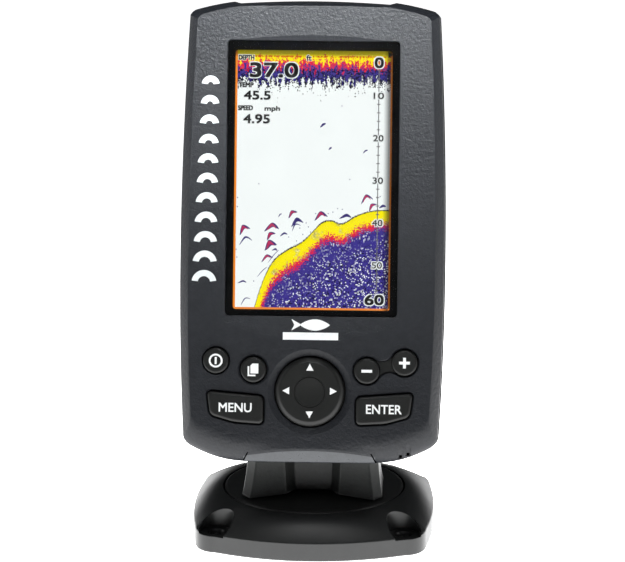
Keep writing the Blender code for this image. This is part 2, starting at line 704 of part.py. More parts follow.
def build_boards(case):
    green = material("board_laminate", (0.03, 0.16, 0.07), 0.45)
    board = prism("main_board", rectangle(32.5, 54.5, 147), 13.0, 14.6, case, green)
    chips = ((-16, 72, 14, 14), (10, 74, 18, 10), (-14, 104, 10, 10), (14, 118, 20, 12))
    for number, (x, z, width, height) in enumerate(chips):
        low = (x - width / 2, 14.0, z - height / 2)
        high = (x + width / 2, 16.4, z + height / 2)
        fuse(board, box(f"chip_{number}", low, high, case))
    outline = rounded(rectangle(37.0, 14.2, 47.0), 2.0)
    keyboard = prism("keypad_board", outline, 7.4, 9.0, case, green)
    under_keys = {"outer": OUTER_KEY, "inner": INNER_KEY, "bar": BAR_CENTRE}
    domes = [place for _, place in both_sides(under_keys)]
    domes += [at(PAD_CENTRE, 7.0, math.radians(turn)) for turn in (0, 90, 180, 270)]
    for number, centre in enumerate(domes):
        fuse(keyboard, cylinder(f"dome_{number}", 1.8, 6.9, 8.0, centre, case, None, "Y", 8))
    grey = material("sounder_plastic", (0.03, 0.03, 0.03), 0.5)
    cylinder("key_sounder", 3.9, 4.5, 8.5, (29.0, 9.1), case, grey, "Y", 20)


# ---------------------------------------------------------------- keys
def build_membrane(case):
    rubber = material("key_rubber", (0.018, 0.018, 0.018), 0.5)
    outline = rounded(rectangle(39.0, 14.0, 44.0), 3.0)
    sheet = prism("keypad_membrane", outline, *MEMBRANE_DEPTH, case, rubber)
    bore(sheet, "pad_clearance", PAD_RADIUS + 2, 0, 9, PAD_CENTRE, case, "Y", 24)
    middle = (Vector(INNER_KEY) + Vector(OUTER_KEY)) / 2
    low = (middle.x - 0.9, 1.2, middle.y - 1.6)
    high = (middle.x + 0.9, 5.4, middle.y + 1.6)
    fuse(sheet, box("zoom_web", low, high, case))


def key_cap(name, outline, centre, case, proud=KEY_PROUD):
    """A key: its face stands proud of the bezel and a flange holds it in from behind."""
    rubber = material("key_rubber", (0.018, 0.018, 0.018), 0.5)
    origin = (centre[0], 0, centre[1])
    local = [(x - centre[0], z - centre[1]) for x, z in outline]
    cap = prism(name, local, -proud, 3.4, case, rubber, origin=origin)
    fuse(cap, prism(name + "_flange", inset(local, -0.9), WALL + 0.4, 3.9, case, origin=origin))
    chamfer(cap, 0.5)
    return cap


def build_keys(case):
    for name, side, place in (
        ("key_power", -1, OUTER_KEY),
        ("key_pages", -1, INNER_KEY),
        ("key_zoom_out", 1, INNER_KEY),
        ("key_zoom_in", 1, OUTER_KEY),
    ):
        centre = (side * place[0], place[1])
        key_cap(name, circle(centre, OUTER_KEY_RADIUS, 20), centre, case)
    for name, side in (("key_menu", -1), ("key_enter", 1)):
        key_cap(name, bar_key_outline(side), (side * BAR_CENTRE[0], BAR_CENTRE[1]), case)


def build_arrow_pad(case):
    """The pad and its gimbal, turned about the case's depth; heights run to the front."""
    rubber = material("key_rubber", (0.018, 0.018, 0.018), 0.5)
    acetal = material("ratchet_acetal", (0.62, 0.6, 0.55), 0.5)
    pivot = (PAD_CENTRE[0], 5.4, PAD_CENTRE[1])
    pad_profile = [
        (0, 7.4),
        (PAD_RADIUS - 1.6, 7.2),
        (PAD_RADIUS - 0.3, 6.4),
        (PAD_RADIUS - 0.5, 1.7),
        (PAD_RADIUS + 1.2, 1.7),
        (PAD_RADIUS + 1.2, 1.0),
        (0, 1.0),
    ]
    gimbal_profile = [(0, 0.5), (5.0, 0.5), (5.0, -0.6), (0, -0.6)]
    pad = turned("arrow_pad", pad_profile, case, rubber, pivot, steps=28)
    gimbal = turned("arrow_gimbal", gimbal_profile, case, acetal, pivot, steps=20)
    for piece in (pad, gimbal):
        piece.rotation_euler.x = math.radians(90)


# ---------------------------------------------------------------- the whole
def build():
    base = empty("base_frame")
    swivel = empty("swivel_axis")
    tilt = empty("tilt_axis", swivel, (0, *PIVOT), -REST_TILT)
    case = empty("case_frame", tilt, (0, -PIVOT_IN_CASE[0], -PIVOT_IN_CASE[1]))
    build_foot(base)
    build_turntable(swivel)
    build_yoke(swivel)
    build_hinge(swivel)
    build_cradle(case)
    build_front_bezel(case)
    build_back_shell(case)
    build_gasket(case)
    build_socket(case)
    build_window(case)
    build_boards(case)
    build_membrane(case)
    build_keys(case)
    build_arrow_pad(case)


clear_scene()
PIECES = new_collection("fish_finder")
CUTTERS = new_collection("cutters")
build()
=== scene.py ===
import json
import math

import bmesh
import bpy
from mathutils import Matrix, Vector


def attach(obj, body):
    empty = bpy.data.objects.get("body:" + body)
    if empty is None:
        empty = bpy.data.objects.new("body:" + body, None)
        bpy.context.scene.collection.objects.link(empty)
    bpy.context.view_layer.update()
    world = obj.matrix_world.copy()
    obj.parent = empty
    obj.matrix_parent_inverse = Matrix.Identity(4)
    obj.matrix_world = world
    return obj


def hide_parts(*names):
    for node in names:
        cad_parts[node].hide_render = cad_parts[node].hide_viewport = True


# Looks of the fish finder. Lengths are millimetres until a piece is placed. Case pieces are
# made in the case's own frame: X across, Y into the case from its front face, Z up the face
# from its bottom edge. Foot, disc and yoke pieces are made in the model's own frame.
MM = 0.001

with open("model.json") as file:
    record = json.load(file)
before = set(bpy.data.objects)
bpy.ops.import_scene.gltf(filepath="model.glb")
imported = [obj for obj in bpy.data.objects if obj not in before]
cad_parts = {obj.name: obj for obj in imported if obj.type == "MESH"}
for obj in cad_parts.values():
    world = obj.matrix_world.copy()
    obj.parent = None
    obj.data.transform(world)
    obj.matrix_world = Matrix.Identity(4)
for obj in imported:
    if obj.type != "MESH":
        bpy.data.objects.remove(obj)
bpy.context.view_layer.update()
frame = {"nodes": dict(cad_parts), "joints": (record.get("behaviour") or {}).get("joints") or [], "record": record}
NODES = frame["nodes"]
NODE_SLOTS = {part["node"]: part["material_slot"] for part in frame["record"]["subparts"]}
JOINTS = {joint["name"]: joint for joint in frame["joints"]}
WORKSHOP = bpy.context.scene.collection

# Case, as in the CAD
PIVOT_IN_CASE = Vector((0, 30.0, 24.0))
CASE_HEIGHT = 163.8
CASE_HALF_WIDTH = 47.3
WIDEST_HEIGHT = 68.8
CASE_DEPTH = 41.0
WALL = 2.5
BEZEL_DEPTH = 14.0
SEAM_SET_IN = 0.45  # the black seam shows past the bezel's sides by this much
BACK_START = 15.4
RECESS_HALF_WIDTH = 25.0
RECESS_FRONT = 19.0
RECESS_TOP = 48.0
CASE_SCREWS = ((38.3, 10.0), (38.0, 85.0), (38.5, 155.0))
SOCKET_HEIGHT = 96.0

# How the bezel's edge rolls over: (inset on the face, depth at the outline, straightness)
SIDE_ROLL = (3.1, 4.4, 1.85)
LOW_ROLL = (9.0, 5.5, 1.05)
TOP_ROLL = (2.1, 9.0, 1.7)
LIP_HALF_WIDTH = 23.4

# Window
WINDOW = (30.5, 51.9, 149.4)  # half width, low, high
SCREEN = (27.8, 54.2, 146.0)
SCREEN_DEPTH = 4.6
DISH_BELOW = 9.1
DISH_ABOVE = 1.9
DISH_DEPTH = 0.75
DISH_REACH = 36.0

# Keys: across, up
OUTER_KEY = (33.4, 35.9)
INNER_KEY = (20.1, 32.85)
KEY_RADIUS = 4.5
KEY_PROUD = 1.4
KEY_GAP = 0.4
PAD_CENTRE = (0.0, 25.2)
PAD_RADIUS = 12.2
BAR_KEY = ((36.45, 25.1), (16.45, 23.5), (16.5, 13.65), (27.0, 14.3), (35.3, 16.7))
BAR_CENTRE = (26.3, 19.4)

# Foot, disc and yoke, as in the CAD
FOOT_HALF_WIDTH = 43.6
FOOT_HALF_LENGTH = 44.0
FOOT_EDGE = 7.4
FOOT_RIM = 14.4
DISC_RADIUS = 32.6
DISC_TOP = 14.6
DISC_UNDERSIDE = 9.4
HUB_RADIUS = 20.8
HUB_BOTTOM = 3.8
RETAINER_POCKET_RADIUS = 28.4
YOKE_BOTTOM = 14.9
PIVOT = (-3.8, 50.8)
SCREW_PLACE = (33.3, 30.3)
SCREW_PAD_HEIGHT = 6.3
SCOOP_RADIUS = 5.8
SCOOP_REACH = (0.6, 2.2)
SCREW_HOLE_RADIUS = 2.3

# Edges that turn by more than this many degrees stay sharp in the shading
SHARP_ANGLE = 38


# ---------------------------------------------------------------- outlines
def bend(start, corner, end, count=8):
    """Points of a soft corner from start to end, drawn towards corner."""
    points = []
    for step in range(count + 1):
        t = step / count
        near, mid, far = (1 - t) ** 2, 2 * t * (1 - t), t * t
        points.append(tuple(near * a + mid * b + far * c for a, b, c in zip(start, corner, end)))
    return points


def rounded(corners, radius, count):
    """An outline whose corners are softened over the given distance."""
    points = []
    for i, corner in enumerate(corners):
        here = Vector(corner)
        before = Vector(corners[i - 1]) - here
        after = Vector(corners[(i + 1) % len(corners)]) - here
        reach = min(radius, 0.45 * before.length, 0.45 * after.length)
        start = here + before.normalized() * reach
        end = here + after.normalized() * reach
        points += bend(start, corner, end, count)
    return points


def rectangle(half_width, low, high):
    return [(-half_width, low), (half_width, low), (half_width, high), (-half_width, high)]


def mirrored(right_half):
    """A closed outline from its right half, which runs from the bottom to the top."""
    return right_half + [(-x, y) for x, y in reversed(right_half) if x > 1e-6]


def arc(centre, radius, start, end, count):
    points = []
    for step in range(count + 1):
        angle = math.radians(start + (end - start) * step / count)
        points.append((centre[0] + radius * math.cos(angle), centre[1] + radius * math.sin(angle)))
    return points


def circle(centre, radius, count=48):
    return arc(centre, radius, 0, 360, count)[:-1]


def moved(outline, shift, turn=0.0, size=1.0):
    """The outline scaled, turned by an angle in degrees and shifted."""
    c, s = math.cos(math.radians(turn)) * size, math.sin(math.radians(turn)) * size
    return [(shift[0] + c * x - s * y, shift[1] + s * x + c * y) for x, y in outline]


def inset(outline, distance):
    """The outline moved inwards by a distance."""
    count = len(outline)
    area = sum(
        outline[i][0] * outline[(i + 1) % count][1] - outline[(i + 1) % count][0] * outline[i][1]
        for i in range(count)
    )
    side = 1 if area > 0 else -1
    points = []
    for i in range(count):
        here = Vector(outline[i])
        into = (here - Vector(outline[i - 1])).normalized()
        out = (Vector(outline[(i + 1) % count]) - here).normalized()
        inward = Vector((-into.y - out.y, into.x + out.x)).normalized() * side
        slant = max(0.5, abs(inward.dot(Vector((-out.y, out.x)))))
        points.append(tuple(here + inward * distance / slant))
    return points


def shrunk(outline, distance):
    """The outline scaled towards its middle, so that each side moves in by a distance."""
    half_width = max(x for x, _ in outline)
    low = min(y for _, y in outline)
    high = max(y for _, y in outline)
    middle, half_height = (low + high) / 2, (high - low) / 2
    across = 1 - distance / half_width
    up = 1 - distance / half_height
    return [(x * across, middle + (y - middle) * up) for x, y in outline]


# ---------------------------------------------------------------- solids
def loft(rings, closed=False):
    """A solid through rings of the same number of places; a closed one joins its ends."""
    form = bmesh.new()
    loops = [[form.verts.new(Vector(place)) for place in ring] for ring in rings]
    pairs = list(zip(loops, loops[1:]))
    if closed:
        pairs.append((loops[-1], loops[0]))
    for near, far in pairs:
        for i in range(len(near)):
            j = (i + 1) % len(near)
            form.faces.new((near[i], near[j], far[j], far[i]))
    if not closed:
        form.faces.new(loops[0])
        form.faces.new(loops[-1])
    bmesh.ops.recalc_face_normals(form, faces=form.faces)
    return form


def on_axis(point, height, along):
    x, y = point
    return {"X": (height, x, y), "Y": (x, height, y), "Z": (x, y, height)}[along]


def prism(outline, start, end, along="Y"):
    """The outline is (x, z) along Y, (x, y) along Z and (y, z) along X."""
    return loft([[on_axis(p, height, along) for p in outline] for height in (start, end)])


def tapered(outlines, heights, along="Y"):
    """A solid through outlines at different heights along one axis."""
    return loft([[on_axis(p, h, along) for p in outline] for outline, h in zip(outlines, heights)])


def cylinder(centre, radius, start, end, along="Y", sides=48, end_radius=None):
    far = radius if end_radius is None else end_radius
    return tapered([circle(centre, radius, sides), circle(centre, far, sides)], (start, end), along)


def revolved(profile, centre, along="Y", steps=96, closed=False):
    """A profile of (radius, height) turned about an axis; radius 0 makes a point."""
    rings = [[on_axis(p, h, along) for p in circle(centre, max(r, 1e-4), steps)] for r, h in profile]
    form = loft(rings, closed)
    bmesh.ops.remove_doubles(form, verts=form.verts, dist=1e-3)
    bmesh.ops.recalc_face_normals(form, faces=form.faces)
    return form


def as_mesh(form, name="work"):
    mesh = bpy.data.meshes.new(name)
    form.to_mesh(mesh)
    form.free()
    return mesh


def as_object(data, name="work"):
    """A new object in the scene for a mesh, a curve, a light or a camera."""
    obj = bpy.data.objects.new(name, data)
    WORKSHOP.objects.link(obj)
    return obj


def combined(form, tools, operation="DIFFERENCE"):
    """The form after cutting it by, or joining it to, each of the tools."""
    obj = as_object(as_mesh(form))
    others = [as_object(as_mesh(tool)) for tool in tools]
    for other in others:
        modifier = obj.modifiers.new("step", "BOOLEAN")
        modifier.operation = operation
        modifier.solver = "EXACT"
        modifier.object = other
    evaluated = obj.evaluated_get(bpy.context.evaluated_depsgraph_get())
    result = bmesh.new()
    result.from_mesh(evaluated.to_mesh())
    evaluated.to_mesh_clear()
    for other in others + [obj]:
        mesh = other.data
        bpy.data.objects.remove(other)
        bpy.data.meshes.remove(mesh)
    bmesh.ops.remove_doubles(result, verts=result.verts, dist=2e-3)
    bmesh.ops.dissolve_degenerate(result, edges=result.edges, dist=1e-3)
    return result


def cut(form, *tools):
    return combined(form, tools)


def fuse(form, *tools):
    return combined(form, tools, "UNION")


def soften(form, width, segments, angle, pick=None):
    """Round the edges that turn by more than an angle in degrees."""
    bmesh.ops.dissolve_limit(
        form, angle_limit=math.radians(0.4), use_dissolve_boundaries=False,
        verts=form.verts, edges=form.edges,
    )
    edges = [
        e
        for e in form.edges
        if len(e.link_faces) == 2
        and e.calc_face_angle(0) > math.radians(angle)
        and (pick is None or pick(e))
    ]
    bmesh.ops.bevel(
        form, geom=edges, offset=width, offset_type="OFFSET", segments=segments,
        profile=0.6, affect="EDGES", clamp_overlap=False,
    )
    return form


def joined(forms):
    """Separate closed forms in one mesh."""
    whole = bmesh.new()
    for form in forms:
        mesh = as_mesh(form)
        whole.from_mesh(mesh)
        bpy.data.meshes.remove(mesh)
    return whole


# ---------------------------------------------------------------- placing
def case_frame():
    """From the case's own frame in millimetres to the model's frame in metres."""
    into = Vector(JOINTS["power_press"]["axis"])
    tilt = math.atan2(into.z, into.y)
    place = Matrix.Translation(Vector(JOINTS["tilt"]["pos_m"])) @ Matrix.Rotation(tilt, 4, "X")
    return place @ Matrix.Scale(MM, 4) @ Matrix.Translation(-PIVOT_IN_CASE)


IN_CASE = case_frame()
IN_MODEL = Matrix.Scale(MM, 4)


def place(name, form, where, body, finish, stands_for=(), slot=None):
    """Turn a form into a smooth-shaded piece that rides on a body.

    Wide faces square to an axis keep flat shading, so no edge beside them tints them.
    """
    for face in form.faces:
        square = max(abs(share) for share in face.normal) > 0.99999
        face.smooth = not (square and face.calc_area() > 40)
    for edge in form.edges:
        turn = edge.calc_face_angle(0)
        edge.smooth = len(edge.link_faces) != 2 or turn < math.radians(SHARP_ANGLE)
    mesh = as_mesh(form, name)
    mesh.transform(where)
    obj = as_object(mesh, name)
    mesh.materials.append(finish)
    weighted = obj.modifiers.new("weighted_normals", "WEIGHTED_NORMAL")
    weighted.keep_sharp = True
    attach(obj, body)
    if stands_for:
        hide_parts(*stands_for)
    return obj


def on_display(name, form, finish, slot=None):
    return place(name, form, IN_CASE, "display", finish, (), slot)


def replace_node(name, form, where, body, node):
    """Place a piece for a CAD node, with the finish of that node's slot."""
    slot = NODE_SLOTS[node]
    return place(name, form, where, body, SLOT_FINISHES[slot], [node], slot)


# ---------------------------------------------------------------- materials
class Finish:
    """A procedural material, built by small steps on one Principled shader."""

    def __init__(self, name, roughness=0.5, metallic=0.0, **sockets):
        self.material = bpy.data.materials.new(name)
        self.material.use_nodes = True
        self.tree = self.material.node_tree
        self.shader = self.tree.nodes["Principled BSDF"]
        self.shader.inputs["Roughness"].default_value = roughness
        self.shader.inputs["Metallic"].default_value = metallic
        for socket, value in sockets.items():
            self.shader.inputs[socket.replace("_", " ")].default_value = value
        self.place = self.node("TexCoord").outputs["Object"]

    def node(self, kind, **settings):
        made = self.tree.nodes.new("ShaderNode" + kind)
        for name, value in settings.items():
            if name in made.inputs:
                made.inputs[name].default_value = value
            else:
                setattr(made, name, value)
        return made

    def link(self, source, target):
        self.tree.links.new(source, target)

    def noise(self, scale, detail=3.0, roughness=0.55, where=None):
        """A pattern whose scale is in cells a metre."""
        made = self.node("TexNoise", Scale=scale, Detail=detail, Roughness=roughness)
        self.link(where or self.place, made.inputs["Vector"])
        return made.outputs["Fac"]

    def ramp(self, value, stops, interpolation="LINEAR"):
        made = self.node("ValToRGB")
        made.color_ramp.interpolation = interpolation
        while len(made.color_ramp.elements) < len(stops):
            made.color_ramp.elements.new(0.5)
        for element, (position, colour) in zip(made.color_ramp.elements, stops):
            element.position = position
            element.color = (*colour, 1.0)
        self.link(value, made.inputs["Fac"])
        return made.outputs["Color"]

    def colour(self, base, pattern, spread):
        """The base colour, a little darker and lighter over the pattern."""
        dark = [c * (1 - spread) for c in base]
        light = [min(1.0, c * (1 + spread)) for c in base]
        shades = self.ramp(pattern, ((0.35, dark), (0.65, light)))
        self.link(shades, self.shader.inputs["Base Color"])

    def roughness(self, pattern, low, high):
        spread = self.node("MapRange")
        spread.inputs["To Min"].default_value = low
        spread.inputs["To Max"].default_value = high
        self.link(pattern, spread.inputs["Value"])
        self.link(spread.outputs["Result"], self.shader.inputs["Roughness"])

    def bump(self, pattern, height):
        """Height is the pattern's full relief in metres."""
        made = self.node("Bump", Strength=1.0, Distance=height)
        self.link(pattern, made.inputs["Height"])
        self.link(made.outputs["Normal"], self.shader.inputs["Normal"])

    def sum(self, first, second, share):
        """first + share * second."""
        made = self.node("Math", operation="MULTIPLY_ADD")
        self.link(second, made.inputs[0])
        made.inputs[1].default_value = share
        self.link(first, made.inputs[2])
        return made.outputs["Value"]


def leather_plastic(name, base, roughness, grain=0.00012, specular=0.5):
    """Moulded plastic with a fine leathery grain."""
    finish = Finish(name, roughness, Specular_IOR_Level=specular)
    cells = finish.noise(900, 2.0, 0.6)
    pits = finish.noise(2300, 1.0, 0.5)
    finish.bump(finish.sum(cells, pits, 0.4), grain)
    finish.colour(base, finish.noise(420, 4.0, 0.65), 0.12)
    finish.roughness(finish.noise(900, 3.0), roughness - 0.07, roughness + 0.07)
    return finish.material


def satin_plastic(name, base, roughness, grain=0.00001, spread=0.08, specular=0.5):
    """Smooth moulded plastic or rubber with a faint unevenness."""
    finish = Finish(name, roughness, Specular_IOR_Level=specular)
    finish.bump(finish.noise(1800, 2.0), grain)
    finish.colour(base, finish.noise(260, 5.0, 0.6), spread)
    finish.roughness(finish.noise(140, 4.0), roughness - 0.05, roughness + 0.06)
    return finish.material


def worked_metal(name, base, roughness):
    """Metal with fine marks from how it was made."""
    finish = Finish(name, roughness, 1.0)
    finish.bump(finish.noise(2600, 3.0), 0.000006)
    finish.colour(base, finish.noise(500, 4.0), 0.1)
    finish.roughness(finish.noise(1200, 2.0), roughness - 0.06, roughness + 0.1)
    return finish.material


def printed_white(name, base=(0.86, 0.88, 0.88)):
    """Off-white print or inlay."""
    finish = Finish(name, 0.45)
    finish.colour(base, finish.noise(900, 2.0), 0.03)
    finish.roughness(finish.noise(700), 0.4, 0.52)
    return finish.material


def clear_window(name):
    finish = Finish(name, 0.03, IOR=1.45, Transmission_Weight=1.0)
    finish.colour((0.96, 0.97, 0.97), finish.noise(60, 1.0), 0.01)
    return finish.material


def circuit_board(name):
    """Green laminate with paler tracks."""
    finish = Finish(name, 0.4)
    laminate, darker, track = (0.03, 0.17, 0.07, 1), (0.02, 0.13, 0.05, 1), (0.08, 0.28, 0.12, 1)
    brick = finish.node("TexBrick", Scale=240, Color1=darker, Color2=laminate, Mortar=track)
    finish.link(finish.place, brick.inputs["Vector"])
    finish.link(brick.outputs["Color"], finish.shader.inputs["Base Color"])
    finish.bump(brick.outputs["Fac"], 0.00002)
    return finish.material


# The lip is of the case's slate plastic. Its base colour, lighter than the case's, is a painted highlight for the
# light it catches from below. Its lower roughness and stronger specular make it glossier.
SLATE_LIP_PAINTED_HIGHLIGHT = leather_plastic("slate_lip_painted_highlight", (0.03, 0.034, 0.04), 0.3, 0.00008, 0.62)
KEY_BLACK = satin_plastic("key_satin", (0.009, 0.0095, 0.009), 0.4, 0.000008, 0.08, 0.33)
PRINT_WHITE = printed_white("white_print")
BADGE_WHITE = printed_white("badge_print", (0.7, 0.74, 0.74))

SLOT_FINISHES = {
    "foot_plastic": satin_plastic("foot_satin", (0.018, 0.019, 0.019), 0.34, 0.000006),
    "bearing_nylon": satin_plastic("nylon", (0.7, 0.68, 0.62), 0.45),
    "disc_plastic": satin_plastic("disc_satin", (0.022, 0.022, 0.022), 0.4, 0.000006),
    "retainer_steel": worked_metal("stamped_steel", (0.42, 0.42, 0.43), 0.35),
    "screw_steel": worked_metal("plated_steel", (0.6, 0.6, 0.6), 0.28),
    "yoke_plastic": leather_plastic("yoke_grain", (0.02, 0.022, 0.021), 0.45, 0.00006),
    "hinge_steel": worked_metal("ground_steel", (0.5, 0.5, 0.52), 0.3),
    "ratchet_acetal": satin_plastic("acetal", (0.62, 0.6, 0.55), 0.5),
    "button_plastic": leather_plastic("button_grain", (0.024, 0.024, 0.026), 0.5, 0.00003),
    "spring_steel": worked_metal("spring_wire", (0.6, 0.6, 0.6), 0.3),
    "case_plastic": leather_plastic("slate_case", (0.013, 0.0145, 0.018), 0.42, 0.00016, 0.33),
    "back_plastic": leather_plastic("black_back", (0.018, 0.019, 0.021), 0.46, 0.0001),
    "gasket_rubber": satin_plastic("seam_rubber", (0.006, 0.006, 0.006), 0.6),
    "socket_plastic": satin_plastic("socket_black", (0.018, 0.018, 0.019), 0.38),
    "insert_plastic": satin_plastic("insert_grey", (0.1, 0.1, 0.1), 0.5),
    "pin_brass": worked_metal("gilt_brass", (0.78, 0.58, 0.28), 0.22),
    "window_acrylic": clear_window("clear_acrylic"),
    "mask_black": satin_plastic("mask_gloss", (0.0045, 0.0045, 0.0048), 0.14, 0.000001),
    "seal_foam": leather_plastic("foam", (0.012, 0.012, 0.012), 0.85, 0.0001),
    "lcd_glass": satin_plastic("dark_inside", (0.004, 0.004, 0.004), 0.7),
    "tray_steel": worked_metal("tray_steel", (0.5, 0.51, 0.52), 0.4),
    "chassis_plastic": satin_plastic("chassis_grey", (0.05, 0.05, 0.055), 0.6),
    "board_laminate": circuit_board("laminate"),
    "sounder_plastic": satin_plastic("sounder_black", (0.03, 0.03, 0.03), 0.5),
    "key_rubber": KEY_BLACK,
}


def finish_cad_nodes():
    """Every node of the CAD gets its slot's material, also those inside the case."""
    for node, slot in NODE_SLOTS.items():
        materials = NODES[node].data.materials
        materials.clear()
        materials.append(SLOT_FINISHES[slot])


# ---------------------------------------------------------------- case shells
def side_width(height):
    bow = 4.8e-4 if height < WIDEST_HEIGHT else 3.3e-4
    return CASE_HALF_WIDTH - bow * (height - WIDEST_HEIGHT) ** 2


def bottom_edge(x):
    """Height of the case's bottom edge, flat over the lip and rising to the corners."""
    past = x - LIP_HALF_WIDTH
    return 0.1 * (x / LIP_HALF_WIDTH) ** 2 if past < 0 else 0.1 + 0.01 * past + 0.0135 * past**2


def top_edge(x, notched):
    """Height of the top edge: an arch in the middle, a peak and a sloping shoulder beside it."""
    peak, foot_of_notch = 29.0, 26.8
    if x >= peak:
        bulge = 0.3 * math.sin(math.pi * (x - peak) / 14.8)
        return 163.45 - 0.2197 * (x - peak) + bulge
    if not notched:
        return CASE_HEIGHT - 0.35 * (x / peak) ** 2
    if x > foot_of_notch:
        return 162.8 + 0.65 * (x - foot_of_notch) / (peak - foot_of_notch)
    return CASE_HEIGHT - (x / foot_of_notch) ** 2


def case_outline(notched=False):
    """The case's outline; the notched one dips between the shoulders of its top edge."""
    low_xs = (0, 5.5, 11, 16.5, 20, 22.4, 23.4, 24.6, 27, 30, 33, 36, 39, 41.6)
    high_xs = (41, 38, 34, 31, 29.6, 29, 28.4, 27.6, 26.8, 26, 22, 16, 11, 5.5, 0)
    right = [(x, bottom_edge(x)) for x in low_xs]
    right += bend((42.7, bottom_edge(42.7)), (45.2, 6.7), (side_width(8.9), 8.9), 10)
    right += [(side_width(h), h) for h in (12, *range(16, 156, 8))]
    right += bend((side_width(158.4), 158.4), (43.8, 160.2), (42.2, top_edge(42.2, notched)), 10)
    right += [(x, top_edge(x, notched)) for x in high_xs]
    return mirrored(right)


def edge_weights(outline):
    """How much each place of the outline belongs to a side, the bottom and the top."""
    weights = []
    for i in range(len(outline)):
        ahead = Vector(outline[(i + 1) % len(outline)])
        run = (ahead - Vector(outline[i - 1])).normalized()
        up = -run.x
        weights.append((run.y**2, up**2 if up < 0 else 0.0, up**2 if up > 0 else 0.0))
    return weights


def roll_ring(share, wall, narrower):
    """A ring of the bezel's rolled edge, from 0 at the flat face to 1 at the outline.

    wall moves it inwards and back, for the hollow; narrower makes the whole smaller.
    """
    smooth, notched = case_outline(), case_outline(True)
    angle = math.radians(90) * share
    insets, depths = [], []
    for size, deep, straightness in (SIDE_ROLL, LOW_ROLL, TOP_ROLL):
        insets.append(size * (1 - math.sin(angle) ** straightness) + wall)
        depths.append(deep * (1 - max(0.0, math.cos(angle)) ** straightness) + wall)
    side_in, low_in, top_in = insets
    ring = []
    for (x, low_h), (_, notch_h), weights in zip(smooth, notched, edge_weights(smooth)):
        height = low_h + (notch_h - low_h) * share
        above = (height - WIDEST_HEIGHT) / (CASE_HEIGHT - WIDEST_HEIGHT)
        below = 1 - height / WIDEST_HEIGHT
        lift = low_in * below if below > 0 else -top_in * above
        depth = sum(w * d for w, d in zip(weights, depths)) / sum(weights)
        across = 1 - (side_in + narrower) / CASE_HALF_WIDTH
        ring.append((x * across, depth, height + lift))
    return ring


def rolled_form(wall, end):
    """The bezel's outer form, or its hollow where wall is the thickness left."""
    steps = 10
    rings = [roll_ring(step / steps, wall, SEAM_SET_IN) for step in range(steps + 1)]
    last = [(x, end, h) for x, _, h in rings[-1]]
    return loft(rings + [last])


def window_dish(low, edge, far, depth, reach):
    """A shallow hollow beside the window, whose rim on the face is an arc.

    It starts at height low, is deepest at edge, and rises again towards far; at the
    edge it is reach wide to each side.
    """
    rings = []
    across = [reach * 1.5 * (step / 12 - 1) for step in range(25)]
    for height, deep in ((low, 0.0), (edge, depth), (far, 0.0)):
        bottom = [(x, deep - depth * (x / reach) ** 2, height) for x in across]
        rings.append([(across[0], -6, height)] + bottom + [(across[-1], -6, height)])
    return loft(rings)


def lip_height(x):
    """How tall the lip's facet is, tallest in the middle."""
    return 2.0 + 2.2 * (1 - (x / LIP_HALF_WIDTH) ** 2)


def lip():
    """The lens-shaped facet in the middle of the bottom edge, over the bracket."""
    rings = []
    count = 36
    for step in range(count + 1):
        x = LIP_HALF_WIDTH * (2 * step / count - 1)
        middle = 1 - (x / LIP_HALF_WIDTH) ** 2
        edge = bottom_edge(abs(x)) + 0.04
        crest = edge + lip_height(x)
        share = 1 - 0.9 * middle
        heights = (11.0, 9.0, 8.0, 7.0, 6.2, crest + 1.2)
        front = [(x, 0.012 + share * roll_depth(h - edge), h) for h in heights]
        start, drop = 0.012 + share * roll_depth(crest - edge), crest - edge - 0.3
        slope = [(x, start + 0.55 * fall, crest - fall) for fall in (0, 0.4 * drop, drop)]
        behind = [(x, start + 0.55 * drop + 0.7, edge), (x, 8.4, edge), (x, 8.4, 11.0)]
        rings.append(front + slope + behind)
    return loft(rings)


def roll_depth(height):
    """How deep the low roll is at a height above the case's bottom edge."""
    reach, depth, _ = LOW_ROLL
    share = min(1.0, max(0.0, 1 - height / reach))
    return depth * (1 - math.sqrt(1 - share**2))


def lip_slits():
    """Thin cuts at the two ends of the lip."""
    tools = []
    for side in (-1, 1):
        slant = [(21.6, 3.5), (22.1, 3.5), (23.9, 0.2), (23.3, 0.2)]
        tools.append(prism([(side * x, h) for x, h in slant], -1, 8))
    return tools


def bar_outline(side):
    return rounded([(side * x, y) for x, y in BAR_KEY], 1.9, 6)


def zoom_opening(grow=0.0):
    """Both zoom key holes and the waist with hollow sides between them, as one outline."""
    way = Vector(OUTER_KEY) - Vector(INNER_KEY)
    half = way.length / 2
    radius, waist = KEY_RADIUS + KEY_GAP + grow, 2.1 + grow
    hollow = (half**2 + waist**2 - radius**2) / (2 * (radius - waist))
    lean = math.degrees(math.acos(half / (radius + hollow)))
    points = arc((0, 0), radius, lean, 360 - lean, 30)
    points += arc((half, -waist - hollow), hollow, 180 - lean, lean, 12)[1:-1]
    points += arc((2 * half, 0), radius, 180 + lean, 540 - lean, 30)
    points += arc((half, waist + hollow), hollow, -lean, lean - 180, 12)[1:-1]
    return moved(points, INNER_KEY, math.degrees(math.atan2(way.y, way.x)))


